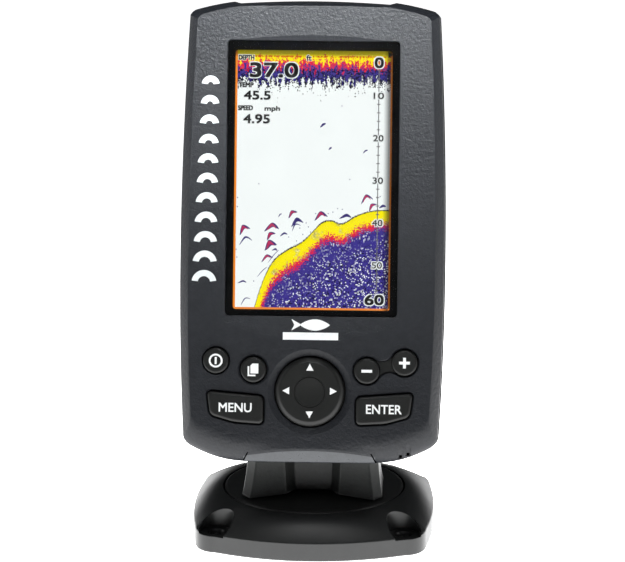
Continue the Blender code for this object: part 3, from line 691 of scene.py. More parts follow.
def key_openings():
    """Cutters for the key holes, and the shallow countersinks round them."""
    hole, wide = KEY_RADIUS + KEY_GAP, PAD_RADIUS + 2.9
    tools = [cylinder(PAD_CENTRE, PAD_RADIUS + 0.5, -5, 9, sides=96)]
    tools.append(cylinder(PAD_CENTRE, wide + 0.6, -0.2, 0.8, end_radius=wide - 2.4, sides=96))
    for spot, rim in ((OUTER_KEY, 0.9), (INNER_KEY, 1.7)):
        centre = (-spot[0], spot[1])
        tools.append(cylinder(centre, hole, -5, 9))
        tools.append(cylinder(centre, hole + rim, -0.5, 0.6, end_radius=hole - 0.5))
    tools.append(prism(zoom_opening(), -5, 9))
    tools.append(tapered([zoom_opening(1.1), zoom_opening(-0.3)], (-0.5, 0.6)))
    for side in (-1, 1):
        outline = bar_outline(side)
        tools.append(prism(inset(outline, -KEY_GAP), -5, 9))
        tools.append(tapered([inset(outline, -1.5), inset(outline, -0.1)], (-0.5, 0.5)))
    return tools


def sounder_vents():
    """Two inverted-U recesses low on the right, each with a hole at its foot."""
    tools = []
    for x, low, high in ((32.3, 1.85, 5.3), (34.95, 2.75, 7.1)):
        outline = [(x - 1.0, low), (x + 1.0, low)] + arc((x, high - 1.0), 1.0, 0, 180, 8)
        floor = [(px, roll_depth(ph - bottom_edge(px)) + 0.7, ph) for px, ph in outline]
        tools.append(loft([[(px, -5, ph) for px, ph in outline], floor]))
        tools.append(prism(moved(rectangle(0.55, 0.3, 1.3), (x, low)), -5, 12))
    return tools


def front_bezel():
    form = fuse(rolled_form(0.0, BEZEL_DEPTH), lip())
    half, low, high = WINDOW
    opening = rounded(rectangle(half, low, high), 1.6, 5)
    hollow = rolled_form(WALL + 0.1, BEZEL_DEPTH + 6)
    dishes = [
        window_dish(low - DISH_BELOW, low, low + 8, DISH_DEPTH, DISH_REACH),
        window_dish(high + DISH_ABOVE, high, high - 4, 0.55, 27.0),
    ]
    form = cut(form, hollow, *dishes, prism(opening, -5, 12))
    form = cut(form, *key_openings(), *sounder_vents(), *lip_slits())

    def rims(edge):
        """On the face, above the lip and clear of the top's corners."""
        above, within = 9.8, 39.5
        return all(-1 < v.co.y < 2 and v.co.z > above and abs(v.co.x) < within for v in edge.verts)

    soften(form, 0.28, 2, 42, rims)
    bezel = replace_node("bezel_shell", form, IN_CASE, "display", "front_bezel")
    bezel.data.materials.append(SLATE_LIP_PAINTED_HIGHLIGHT)
    into_case = IN_CASE.inverted()
    # The lip's faces take the lighter slate, a painted highlight.
    for face in bezel.data.polygons:
        spot = into_case @ face.center
        on_lip = abs(spot.x) < LIP_HALF_WIDTH and spot.y < 5 and spot.z < 4.6
        if on_lip and spot.z < bottom_edge(abs(spot.x)) + lip_height(spot.x):
            face.material_index = 1


def seam():
    """The black seal between the two shells, a hair proud of the slate bezel."""
    start, end = BEZEL_DEPTH - 0.25, BACK_START + 0.2
    crown = ((start, 0.5), (start + 0.15, 0.05), (end - 0.15, 0.05), (end, 0.5))
    rings = []
    for depth, narrow in crown + ((end, 2.4), (start, 2.4)):
        rings.append([(x, depth, h) for x, h in shrunk(case_outline(True), narrow)])
    replace_node("shell_seal", loft(rings, True), IN_CASE, "display", "shell_gasket")


def back_ring(share, grow=0.0):
    """A ring of the back shell, from 0 at the seam to 1 at the flat back."""
    angle = math.radians(90) * share
    narrow = min(1, share * 3) + 10.0 * (1 - math.cos(angle)) + grow
    depth = BACK_START + 0.3 + (CASE_DEPTH - BACK_START - 0.3 - grow) * math.sin(angle) ** 0.8
    half_height = CASE_HEIGHT / 2
    ring = []
    for x, h in shrunk(case_outline(True), 0.4):
        height = half_height + (h - half_height) * (1 - narrow / half_height)
        ring.append((x * (1 - narrow / CASE_HALF_WIDTH), depth, height))
    return ring


def back_shell():
    steps = 12
    form = loft([back_ring(step / steps) for step in range(steps + 1)])
    inner = [back_ring(step / steps, WALL) for step in range(steps + 1)]
    inner[0] = [(x, BACK_START - 3, h) for x, _, h in inner[0]]
    around_recess = rectangle(RECESS_HALF_WIDTH + WALL, -10, RECESS_TOP + WALL)
    keepout = prism(around_recess, RECESS_FRONT - WALL, 60)
    wells = []
    bosses = []
    for x, h in CASE_SCREWS:
        for side in (-1, 1):
            bosses.append(cylinder((side * x, h), 4.6, 0, 60, sides=32))
            wells.append(cylinder((side * x, h), 1.7, 5, 30, sides=24))
            wells.append(cylinder((side * x, h), 3.3, 22, 60, sides=32))
    hollow = cut(loft(inner), keepout, *bosses)
    opening = rounded(rectangle(RECESS_HALF_WIDTH, -10, RECESS_TOP), 0.8, 4)
    recess = prism(opening, RECESS_FRONT, 60)
    socket = cylinder((0, SOCKET_HEIGHT), 9.4, 30, 60, sides=64)
    plate = prism(rounded(rectangle(24.0, 72, 146), 6.0, 8), CASE_DEPTH - 0.6, 60)
    form = cut(form, hollow, recess, *wells, socket, plate)

    def outside(edge):
        """On the outer side, and clear of the recess, whose own edges stay sharp."""
        beside, above = RECESS_HALF_WIDTH + 3.5, RECESS_TOP + 3
        return all(v.co.y > 18 and (abs(v.co.x) > beside or v.co.z > above) for v in edge.verts)

    soften(form, 0.35, 2, 42, outside)
    replace_node("rear_shell", form, IN_CASE, "display", "back_shell")


# ---------------------------------------------------------------- keys
def key_cap(outline, centre, rim=0.75):
    """A key: a flange behind the bezel, an upright side, a rounded rim and a flat face."""
    rings = [
        [(x, 3.9, z) for x, z in inset(outline, -0.9)],
        [(x, 2.9, z) for x, z in inset(outline, -0.9)],
        [(x, 2.9, z) for x, z in outline],
    ]
    steps = 5
    for step in range(steps + 1):
        angle = math.radians(90) * step / steps
        set_in = rim * (1 - math.cos(angle))
        depth = rim * 0.75 - KEY_PROUD - rim * 0.75 * math.sin(angle)
        rings.append([(x, depth, z) for x, z in inset(outline, set_in)])
    rings.append([(x, -KEY_PROUD + 0.02, z) for x, z in inset(outline, rim + 0.5)])
    mid_x, mid_z = centre
    middle = [(mid_x + (x - mid_x) * 0.3, mid_z + (z - mid_z) * 0.3) for x, z in outline]
    rings.append([(x, -KEY_PROUD + 0.05, z) for x, z in middle])
    return loft(rings)


def mark(outlines, face=KEY_PROUD, thickness=0.06):
    """Flat printed shapes that stand just proud of a face."""
    return joined([prism(outline, -face - thickness, -face + 0.3) for outline in outlines])


def ring_mark(centre, inner, outer):
    """A printed ring on a key's face."""
    low, high = -KEY_PROUD + 0.3, -KEY_PROUD - 0.06
    profile = [(inner, low), (inner, high), (outer, high), (outer, low)]
    return revolved(profile, centre, steps=48, closed=True)


def lettering(text, centre, height, width, face, thickness):
    """Words or figures of a plain face, fitted to a height and a width."""
    curve = bpy.data.curves.new("lettering", "FONT")
    curve.body = text
    curve.extrude = 0.1
    curve.resolution_u = 4
    obj = as_object(curve)
    evaluated = obj.evaluated_get(bpy.context.evaluated_depsgraph_get())
    mesh = bpy.data.meshes.new_from_object(evaluated)
    bpy.data.objects.remove(obj)
    bpy.data.curves.remove(curve)
    form = bmesh.new()
    form.from_mesh(mesh)
    bpy.data.meshes.remove(mesh)
    bmesh.ops.remove_doubles(form, verts=form.verts, dist=1e-5)
    xs = [v.co.x for v in form.verts]
    ys = [v.co.y for v in form.verts]
    across = width / (max(xs) - min(xs))
    up = height / (max(ys) - min(ys))
    middle = ((max(xs) + min(xs)) / 2, (max(ys) + min(ys)) / 2)
    for vert in form.verts:
        x, y, z = vert.co
        depth = -face - thickness if z > 0 else -face + 0.3
        vert.co = (centre[0] + (x - middle[0]) * across, depth, centre[1] + (y - middle[1]) * up)
    bmesh.ops.recalc_face_normals(form, faces=form.faces)
    return form


def bold_lettering(text, centre, height, width, face, weight, thickness=0.06):
    """Lettering thickened by copies set a little apart, each at its own height."""
    shifts = ((0, 0), (weight, weight), (-weight, weight), (-weight, -weight), (weight, -weight))
    copies = []
    for number, (x, y) in enumerate(shifts):
        spot = (centre[0] + x, centre[1] + y)
        size = (height - 2 * weight, width - 2 * weight)
        copies.append(lettering(text, spot, *size, face, thickness + 0.004 * number))
    return joined(copies)


def round_keys():
    keys = (("power", -1, OUTER_KEY), ("pages", -1, INNER_KEY),
            ("zoom_out", 1, INNER_KEY), ("zoom_in", 1, OUTER_KEY))
    for name, side, spot in keys:
        centre = (side * spot[0], spot[1])
        form = key_cap(circle(centre, KEY_RADIUS), centre)
        replace_node(name + "_key", form, IN_CASE, name, "key_" + name)
        place(name + "_mark", key_mark(name, centre), IN_CASE, name, PRINT_WHITE)


def key_mark(name, centre):
    """The white sign on a round key."""
    across = rectangle(1.9, -0.5, 0.5)
    if name == "power":
        bar = moved(rectangle(0.35, -1.25, 1.25), centre)
        return joined([ring_mark(centre, 1.8, 2.45), mark([bar])])
    if name == "pages":
        front = [(-0.95, -1.35), (1.85, -1.35), (1.85, 2.2), (-0.25, 2.2), (-0.95, 1.5)]
        behind = [(-1.95, -2.3), (0.85, -2.3), (0.85, -1.75)]
        behind += [(-1.35, -1.75), (-1.35, 1.2), (-1.95, 1.2)]
        return mark([moved(front, centre), moved(behind, centre)])
    if name == "zoom_out":
        return mark([moved(across, centre)])
    shapes = (across, rectangle(0.5, 0.5, 1.9), rectangle(0.5, -1.9, -0.5))
    return mark([moved(shape, centre) for shape in shapes])


def bar_keys():
    for name, side, word, width in (("menu", -1, "MENU", 11.7), ("enter", 1, "ENTER", 12.6)):
        centre = (side * BAR_CENTRE[0], BAR_CENTRE[1])
        form = key_cap(bar_outline(side), centre, 1.0)
        replace_node(name + "_key", form, IN_CASE, name, "key_" + name)
        word_form = bold_lettering(word, centre, 3.25, width, KEY_PROUD, 0.07)
        place(name + "_mark", word_form, IN_CASE, name, PRINT_WHITE)


def arrow_pad():
    profile = [
        (0, -1.75), (3.4, -1.82), (4.75, -2.0), (5.1, -2.0), (5.25, -1.78), (5.45, -1.78),
        (5.6, -2.02),
        (10.3, -2.08), (10.7, -2.0), (11.1, -1.75), (11.7, -1.25), (12.05, -0.75), (12.2, -0.2),
        (12.2, 3.7), (13.4, 3.7), (13.4, 4.4), (0, 4.4),
    ]
    form = revolved(profile, PAD_CENTRE)
    replace_node("arrow_key", form, IN_CASE, "pad", "arrow_pad")
    triangle = [(-1.3, -1.1), (1.3, -1.1), (0, 1.35)]
    shapes = []
    for turn in (0, 90, 180, 270):
        angle = math.radians(turn + 90)
        spot = (PAD_CENTRE[0] + 8.3 * math.cos(angle), PAD_CENTRE[1] + 0.4 + 8.3 * math.sin(angle))
        shapes.append(moved(triangle, spot, turn))
    place("arrow_marks", mark(shapes, 2.05), IN_CASE, "pad", PRINT_WHITE)


def key_web():
    """The dark web between the two zoom keys, part of the rubber keypad."""
    keys = [cylinder(spot, KEY_RADIUS + 0.2, -5, 9) for spot in (INNER_KEY, OUTER_KEY)]
    form = cut(prism(zoom_opening(-0.25), 0.7, 2.6), *keys)
    on_display("zoom_key_web", form, KEY_BLACK, "key_rubber")


# ---------------------------------------------------------------- screen
# Top line of the seabed: shares of the screen's width and height
SEABED = (
    (0.0, -0.2), (0.12, -0.02), (0.17, 0.08), (0.21, 0.142), (0.255, 0.19), (0.33, 0.228),
    (0.44, 0.266), (0.505, 0.305), (0.565, 0.34), (0.62, 0.347), (0.68, 0.335), (0.78, 0.366),
    (0.87, 0.384), (1.0, 0.388),
)


def screen_finish():
    """A sonar picture: surface clutter, a seabed with its colour bands, and open water, with a painted shadow of
    the frame along its right and top edges.
    """
    finish = Finish("sonar_picture", 0.25, Emission_Strength=1.08)
    plan = finish.node("UVMap", uv_map="picture").outputs["UV"]
    parts = finish.node("SeparateXYZ")
    finish.link(plan, parts.inputs["Vector"])
    across, up = parts.outputs["X"], parts.outputs["Y"]

    def figure(operation, *values):
        made = finish.node("Math", operation=operation)
        for socket, value in zip(made.inputs, values):
            if isinstance(value, (int, float)):
                socket.default_value = value
            else:
                finish.link(value, socket)
        return made.outputs["Value"]

    def mixed(share, first, second, blend="MIX"):
        made = finish.node("MixRGB", blend_type=blend)
        for name, value in (("Fac", share), ("Color1", first), ("Color2", second)):
            if isinstance(value, tuple):
                made.inputs[name].default_value = (*value, 1.0)
            elif isinstance(value, float):
                made.inputs[name].default_value = value
            else:
                finish.link(value, made.inputs[name])
        return made.outputs["Color"]

    def speckle(scale, detail, stretch):
        stretched = finish.node("Mapping")
        finish.link(plan, stretched.inputs["Vector"])
        stretched.inputs["Scale"].default_value = (1.0, stretch, 1.0)
        pattern = finish.noise(scale, detail, 0.6, stretched.outputs["Vector"])
        return figure("SUBTRACT", pattern, 0.5)

    def dots(across_count, up_count):
        """A random value for each dot of the screen."""
        spread = finish.node("VectorMath", operation="MULTIPLY")
        finish.link(plan, spread.inputs[0])
        spread.inputs[1].default_value = (across_count, up_count, 1)
        cells = finish.node("VectorMath", operation="FLOOR")
        finish.link(spread.outputs["Vector"], cells.inputs[0])
        noise = finish.node("TexWhiteNoise")
        finish.link(cells.outputs["Vector"], noise.inputs["Vector"])
        return noise.outputs["Value"]

    white, yellow, red = (0.93, 0.97, 0.96), (0.98, 0.84, 0.0), (0.78, 0.015, 0.05)
    purple, black, pale = (0.04, 0.028, 0.26), (0.004, 0.003, 0.02), (0.5, 0.5, 0.62)
    fine, coarse, streaks = speckle(150, 2.0, 1.6), speckle(14, 3.0, 1.6), speckle(48, 3.0, 0.45)
    dot = dots(150, 248)
    dither = figure("SUBTRACT", dot, 0.5)

    # the seabed: how far a point lies under its top line, made fuzzy dot by dot
    curve = finish.node("FloatCurve")
    line = curve.mapping.curves[0]
    curve.mapping.clip_min_y = -1
    for position, height in SEABED[1:-1]:
        line.points.new(position, height)
    line.points[0].location = SEABED[0]
    line.points[-1].location = SEABED[-1]
    curve.mapping.update()
    finish.link(across, curve.inputs["Value"])
    under = figure("SUBTRACT", curve.outputs["Value"], up)
    under = figure("MULTIPLY", under, figure("MULTIPLY_ADD", across, 0.4, 0.6))
    fuzzy = figure("MULTIPLY_ADD", dither, 0.022, figure("MULTIPLY_ADD", fine, 0.05, under))
    bands = finish.ramp(
        figure("MULTIPLY", fuzzy, 5.0), ((0.0, yellow), (0.235, red), (0.345, purple)), "CONSTANT"
    )
    grains = finish.ramp(dot, ((0.0, black), (0.17, purple), (0.84, pale), (0.92, white)), "CONSTANT")
    reach = figure("MULTIPLY_ADD", coarse, 1.1, figure("MULTIPLY", under, 2.4))
    deep_enough = finish.ramp(reach, ((0.12, (0, 0, 0)), (0.42, (1, 1, 1))))
    bands = mixed(deep_enough, bands, grains)
    ragged_edge = figure("MULTIPLY_ADD", fine, 0.014, under)
    picture = mixed(figure("GREATER_THAN", ragged_edge, 0.0), white, black)
    picture = mixed(figure("GREATER_THAN", ragged_edge, 0.0045), picture, bands)

    # clutter hanging from the surface, and stray dots under it
    drop = figure("SUBTRACT", 1.0, up)
    ragged = figure("MULTIPLY_ADD", streaks, 0.13, figure("MULTIPLY_ADD", dither, 0.03, drop))
    stops = ((0.0, yellow), (0.19, red), (0.33, purple), (0.53, black), (0.6, white))
    clutter = finish.ramp(figure("MULTIPLY", ragged, 5.0), stops, "CONSTANT")
    picture = mixed(figure("LESS_THAN", ragged, 0.12), picture, clutter)
    rare = figure("MULTIPLY_ADD", drop, 4.6, figure("MULTIPLY_ADD", streaks, 1.2, 0.26))
    stray = figure("MULTIPLY", figure("GREATER_THAN", dot, rare), figure("GREATER_THAN", drop, 0.07))
    picture = mixed(stray, picture, black)
    near_line = figure("COMPARE", up, 0.977, 0.0035)
    broken = figure("GREATER_THAN", figure("ADD", streaks, figure("MULTIPLY", dither, 0.25)), -0.03)
    picture = mixed(figure("MULTIPLY", near_line, broken), picture, (0.7, 0.1, 0.0))

    # the lit edges of the panel, and the shadow its frame throws on it, painted into the picture: a dark strip
    # down the right, the right border line darkened from orange to brown, and a darkened top
    off, orange, orange_in_painted_shade = (0.0, 0.0, 0.0), (0.9, 0.25, 0.02), (0.24, 0.07, 0.005)
    ends = finish.ramp(across, ((0.0, orange), (0.013, off), (0.987, orange_in_painted_shade)), "CONSTANT")
    side_line = figure("ADD", figure("LESS_THAN", across, 0.0115), figure("GREATER_THAN", across, 0.987))
    picture = mixed(side_line, picture, ends)
    picture = mixed(figure("LESS_THAN", up, 0.0075), picture, (0.85, 0.25, 0.04))
    lit, shaded = (1.0, 1.0, 1.0), (0.12, 0.12, 0.12)
    # painted shadow of the frame: a dark strip down the right edge and a darkened band across the top
    shade = finish.ramp(across, ((0.0, lit), (0.945, lit), (0.985, shaded), (0.99, lit)))
    painted_top_shadow = finish.ramp(up, ((0.975, lit), (0.986, (0.32, 0.32, 0.32)), (1.0, (0.2, 0.2, 0.2))))
    picture = mixed(1.0, picture, shade, "MULTIPLY")
    picture = mixed(1.0, picture, painted_top_shadow, "MULTIPLY")
    finish.link(picture, finish.shader.inputs["Emission Color"])
    finish.shader.inputs["Base Color"].default_value = (0.01, 0.01, 0.01, 1)
    return finish.material


def glowing(name, base, strength=0.9):
    finish = Finish(name, 0.4, Emission_Strength=strength)
    tint = finish.ramp(finish.noise(900, 2.0), ((0.3, [c * 0.92 for c in base]), (0.7, base)))
    finish.link(tint, finish.shader.inputs["Emission Color"])
    finish.shader.inputs["Base Color"].default_value = (0.004, 0.004, 0.004, 1)
    return finish.material


def on_screen(across, up):
    """A place on the screen, given as shares of its width and height."""
    half, low, high = SCREEN
    return (-half + 2 * half * across, low + (high - low) * up)


def screen_panel():
    half, low, high = 32.0, WINDOW[1] - 1.0, WINDOW[2] + 1.0
    form = soften(prism(rectangle(half, low, high), SCREEN_DEPTH, 5.8), 0.25, 2, 60)
    plan = form.loops.layers.uv.new("picture")
    for face in form.faces:
        for loop in face.loops:
            x, _, h = loop.vert.co
            loop[plan].uv = ((x + SCREEN[0]) / (2 * SCREEN[0]), (h - SCREEN[1]) / (SCREEN[2] - SCREEN[1]))
    place("screen_panel", form, IN_CASE, "display", screen_finish(), ["lcd_panel"], "lcd_glass")


def arch(centre, width, height, thickness, tilt=0.0):
    """A crescent, thick in the middle, as a fish draws on a sonar screen."""
    upper, lower = [], []
    for step in range(13):
        t = step / 6 - 1
        x = (t + 0.22 * (1 - t * t)) * width / 2
        top = height * (1 - abs(t) ** 1.6)
        slim = thickness * (1 - abs(t) ** 2.2) + 0.1
        upper.append((x, top - height / 2))
        lower.append((x * 0.94, top - slim - height / 2))
    return moved(upper + lower[::-1], centre, tilt)


# Fish echoes: across, up, width, height, thickness, tilt; places are shares of the screen
STRONG_FISH = (
    (0.058, 0.310, 4.4, 2.6, 1.5, 32), (0.236, 0.320, 5.4, 2.6, 1.5, 10), (0.228, 0.287, 4.0, 1.7, 1.2, 40),
    (0.225, 0.252, 4.8, 2.8, 2.1, 26), (0.207, 0.200, 4.4, 1.9, 0.9, 22), (0.366, 0.372, 3.9, 1.7, 1.1, 36),
    (0.548, 0.366, 4.9, 2.6, 1.4, 18), (0.839, 0.433, 4.6, 2.5, 1.0, 22), (0.875, 0.402, 3.8, 1.5, 1.0, 44),
)
FAINT_FISH = (
    (0.069, 0.268, 4.8, 2.2, 0.6, 20), (0.316, 0.292, 2.8, 1.0, 0.6, 14), (0.396, 0.341, 4.6, 2.5, 1.4, 20),
    (0.390, 0.322, 3.6, 1.6, 0.4, 34), (0.708, 0.364, 4.4, 1.5, 1.0, 6), (0.944, 0.404, 2.6, 0.9, 0.8, 12),
    (0.054, 0.106, 3.2, 0.9, 0.5, 6), (0.073, 0.034, 4.0, 1.3, 0.3, 34), (0.262, 0.232, 2.0, 0.9, 0.6, -6),
    (0.250, 0.205, 6.0, 0.3, 0.15, 50), (0.180, 0.145, 5.0, 0.3, 0.15, 46), (0.556, 0.715, 2.6, 0.6, 0.7, 36),
    (0.605, 0.625, 1.5, 0.3, 0.5, 42), (0.83, 0.615, 2.2, 0.5, 0.4, 34), (0.29, 0.365, 1.8, 0.4, 0.3, 44),
)
DOTS = (
    (0.155, 0.484), (0.02, 0.43), (0.02, 0.395), (0.735, 0.505), (0.68, 0.788), (0.93, 0.44), (0.46, 0.335),
    (0.49, 0.30), (0.44, 0.29), (0.52, 0.372), (0.63, 0.378), (0.66, 0.392), (0.69, 0.389), (0.015, 0.23),
    (0.02, 0.20), (0.13, 0.108), (0.42, 0.315), (0.475, 0.32), (0.40, 0.265), (0.35, 0.28), (0.60, 0.372),
)
SCALE_ACROSS = 0.914
SCALE_STEP = 0.1635  # from one figure of the depth scale to the next


def on_panel(name, form, *glow):
    """Place lit shapes on the screen; glow is the material's name, colour and strength."""
    on_display(name, form, glowing(*glow))


def screen_marks():
    """Echoes, readings and the depth scale, as thin shapes on the panel."""
    face = -SCREEN_DEPTH
    outlines = [arch(on_screen(*fish[:2]), *fish[2:]) for fish in STRONG_FISH + FAINT_FISH]
    outlines += [circle(on_screen(*spot), 0.2, 8) for spot in DOTS]
    hearts = []
    for across, up, width, height, thick, tilt in STRONG_FISH:
        hearts.append(arch(on_screen(across, up), width * 0.66, height * 0.8, thick * 0.62, tilt))
    on_panel("echo_outlines", mark(outlines, face, 0.03), "echo_blue", (0.04, 0.025, 0.2))
    on_panel("echo_hearts", mark(hearts, face, 0.05), "echo_red", (0.62, 0.03, 0.12))

    # text, place, height, width, weight of its strokes
    figures = [
        ("37.0", (0.244, 0.924), 5.4, 17.2, 0.22), ("45.5", (0.138, 0.826), 3.2, 9.5, 0.13),
        ("4.95", (0.136, 0.735), 3.3, 9.4, 0.13), ("0", (SCALE_ACROSS, 0.956), 3.9, 3.3, 0.17),
        ("60", (0.90, 0.041), 3.8, 6.9, 0.17), ("DEPTH", (0.067, 0.972), 1.8, 5.6, 0.11),
        ("TEMP", (0.066, 0.866), 1.8, 5.4, 0.11), ("SPEED", (0.064, 0.777), 1.8, 5.3, 0.11),
        ("ft", (0.466, 0.972), 2.0, 1.9, 0.08), ("mph", (0.235, 0.773), 2.2, 5.5, 0.1),
    ]
    for number in range(1, 6):
        spot = (SCALE_ACROSS, 0.992 - SCALE_STEP * number)
        figures.append((str(number * 10), spot, 2.3, 3.7, 0.05))
    dark, pale = [], []
    for words, spot, height, width, weight in figures:
        centre = on_screen(*spot)
        dark.append(bold_lettering(words, centre, height, width, face, weight, 0.12))
        rim = 0.7 if height > 2.2 else 0.3
        size = (height + rim, width + rim)
        pale.append(bold_lettering(words, centre, *size, face, weight + rim / 3, 0.07))
    left, top = on_screen(0.972, 0.999)
    dark.append(mark([[(left, top), (left, top - 2.2), (left + 1.7, top - 1.1)]], face, 0.12))
    on_panel("screen_figures", joined(dark), "figure_black", (0.002, 0.002, 0.002), 0.5)
    on_panel("screen_figure_halos", joined(pale), "figure_halo", (0.93, 0.97, 0.96), 1.0)

    x, low = on_screen(SCALE_ACROSS, 0.07)
    high = on_screen(0, 0.93)[1]
    ticks = [moved(rectangle(0.17, low, high), (x, 0))]
    for step in range(1, 30):
        h = on_screen(0, 0.992 - SCALE_STEP * step / 5)[1]
        if step % 5:
            ticks.append(moved(rectangle(0.6, -0.15, 0.15), (x, h)))
    on_panel("depth_scale", mark(ticks, face, 0.06), "scale_grey", (0.16, 0.16, 0.17))


# ---------------------------------------------------------------- printed marks on the face
def dish_depth(x, height):
    """How deep the hollow under the window is."""
    low, high = WINDOW[1] - DISH_BELOW, WINDOW[1]
    along = (height - low) / (high - low)
    return max(0.0, DISH_DEPTH * along - DISH_DEPTH * (x / DISH_REACH) ** 2)


def emblem():
    """A plain fish over a white bar, in the hollow under the window."""
    top = []
    for step in range(25):
        t = step / 24
        top.append((-4.6 + 10.6 * t, 2.0 * math.sin(math.pi * t) ** 0.8))
    fish = top + [(x, -y) for x, y in reversed(top[1:-1])]
    tail = [(-4.0, 0.0), (-7.6, 2.0), (-6.6, 0.0), (-7.6, -2.0)]
    bar = moved(rectangle(9.8, -1.3, 1.3), (0.0, 44.9))
    shapes = [moved(fish, (0.8, 48.9)), moved(tail, (0.8, 48.9)), bar]
    form = mark(shapes, 0.0)
    for vert in form.verts:
        vert.co.y += dish_depth(vert.co.x, vert.co.z)
    on_display("badge", form, PRINT_WHITE)


def side_marks():
    """A column of sonar arcs up the left side, narrower towards the top."""
    shapes = []
    for step in range(11):
        reach = 4.4 - 0.12 * step
        centre = (-38.0 + 0.16 * step, 63.5 + 7.0 * step)
        outer = arc(centre, reach, 8, 172, 16)
        inner = arc(centre, reach - 2.2, 172, 8, 16)
        shapes.append(outer + inner)
    on_display("side_marks", mark(shapes, 0.0), BADGE_WHITE)


# ---------------------------------------------------------------- foot, disc and yoke
def foot_outline():
    def front(x):
        return FOOT_HALF_LENGTH - 11.0 * (x / 40.0) ** 2

    def side(y):
        return FOOT_HALF_WIDTH - 3.2 * (y / 33.0) ** 2

    right = [(x, -front(x)) for x in (0, 4, 8, 12, 16, 20, 24, 28)]
    right += bend((34, -front(34)), (41.0, -35.0), (side(26), -26), 14)
    right += [(side(y), y) for y in range(-20, 21, 5)]
    right += bend((side(26), 26), (41.0, 35.0), (34, front(34)), 14)
    right += [(x, front(x)) for x in (28, 24, 20, 16, 12, 8, 4, 0)]
    return mirrored(right)


def foot():
    outline = foot_outline()
    rings = [[(x, y, 0) for x, y in inset(outline, 0.5)], [(x, y, 0.5) for x, y in outline]]
    steps = 16
    rings.append([(x, y, FOOT_EDGE - 0.5) for x, y in outline])
    for step in range(steps + 1):
        share = (step / steps) ** 1.3
        height = FOOT_EDGE + (FOOT_RIM - FOOT_EDGE) * (1 - (1 - share) ** 1.8)
        ring = []
        for x, y in inset(outline, 0.45):
            to_rim = DISC_RADIUS / math.hypot(x, y)
            scale = 1 + (to_rim - 1) * share
            ring.append((x * scale, y * scale, height))
        rings.append(ring)
    form = loft(rings)
    tools = [cylinder((0, 0), DISC_RADIUS + 0.45, 8, 30, "Z", 128)]
    tools.append(cylinder((0, 0), HUB_RADIUS + 0.4, -1, 10, "Z", 64))
    tools.append(cylinder((0, 0), RETAINER_POCKET_RADIUS, -1, HUB_BOTTOM, "Z", 64))
    for side_x in (-1, 1):
        for side_y in (-1, 1):
            spot = Vector((side_x * SCREW_PLACE[0], side_y * SCREW_PLACE[1]))
            reach = Vector((side_x * SCOOP_REACH[0], side_y * SCOOP_REACH[1]))
            heading = math.degrees(math.atan2(reach.y, reach.x))
            scoop = arc(spot, SCOOP_RADIUS, heading + 90, heading + 270, 32)
            scoop += arc(spot + reach, SCOOP_RADIUS, heading - 90, heading + 90, 32)
            tools.append(tapered([scoop, inset(scoop, -0.25)], (SCREW_PAD_HEIGHT, 16), "Z"))
            tools.append(cylinder(spot, SCREW_HOLE_RADIUS, -1, 7, "Z", 40))
            tools.append(cylinder(spot, SCREW_HOLE_RADIUS, 4.9, 6.4, "Z", 40, 3.4))
    form = cut(form, *tools)
    soften(form, 0.35, 2, 40, lambda e: all(v.co.z > 4 for v in e.verts))
    replace_node("foot_shell", form, IN_MODEL, "mounting_foot", "base_foot")


def disc():
    profile = [
        (0, DISC_TOP - 0.5), (26.0, DISC_TOP - 0.5), (29.5, DISC_TOP - 0.25), (31.2, DISC_TOP),
        (31.9, DISC_TOP - 0.05), (32.35, DISC_TOP - 0.3), (DISC_RADIUS, DISC_TOP - 0.8),
        (DISC_RADIUS, DISC_UNDERSIDE), (HUB_RADIUS, DISC_UNDERSIDE), (HUB_RADIUS, HUB_BOTTOM),
        (0, HUB_BOTTOM),
    ]
    form = revolved(profile, (0, 0), "Z", 144)
    replace_node("turntable", form, IN_MODEL, "swivel_yoke", "turntable_disc")


def yoke_section(height):
    """Half plan of the two prongs and the web between them, which flare towards the disc."""
    flare = max(0.0, (31.0 - height) / (31.0 - YOKE_BOTTOM)) ** 1.8
    back = max(0.0, (20.0 - height) / (20.0 - YOKE_BOTTOM)) ** 1.5
    right = [
        (0, -6.0 - flare),
        (6.9 - 0.5 * flare, -6.0 - flare),
        (10.2 - 0.8 * flare, -10.6 - 1.9 * flare),
        (20.2 + 2.1 * flare, -11.8 - 6.6 * flare),
        (23.5 + 1.8 * flare, -8.4 - 5.8 * flare),
        (23.4 + 1.6 * flare, 5.5 + 2.5 * back),
        (21.0, 5.5 + 5.5 * back),
        (0, 4.5 + 6.5 * back),
    ]
    return mirrored(right)


def yoke():
    heights = (YOKE_BOTTOM, 15.6, 16.6, 18, 19.6, 21.5, 23.5, 26, 28.5, 31.2)
    form = tapered([yoke_section(h) for h in heights], heights, "Z")
    ear = [(-12.3, 29.5), (-11.4, 37)] + arc(PIVOT, 9.5, 200, -20, 24) + [(5.5, 37), (6.0, 29.5)]
    ears = [prism(ear, *sorted((side * 14.6, side * 23.4)), "X") for side in (-1, 1)]
    form = fuse(form, *ears)
    bore = cylinder(PIVOT, 3.5, -30, 30, "X", 40)
    head_pocket = cylinder(PIVOT, 6.0, 20.4, 30, "X", 48)
    nut_pocket = cylinder(PIVOT, 6.3, -30, -19.0, "X", 48)
    form = cut(form, bore, head_pocket, nut_pocket)
    soften(form, 0.5, 3, 28, lambda e: all(v.co.z > YOKE_BOTTOM + 0.1 for v in e.verts))
    replace_node("yoke_body", form, IN_MODEL, "swivel_yoke", "yoke")


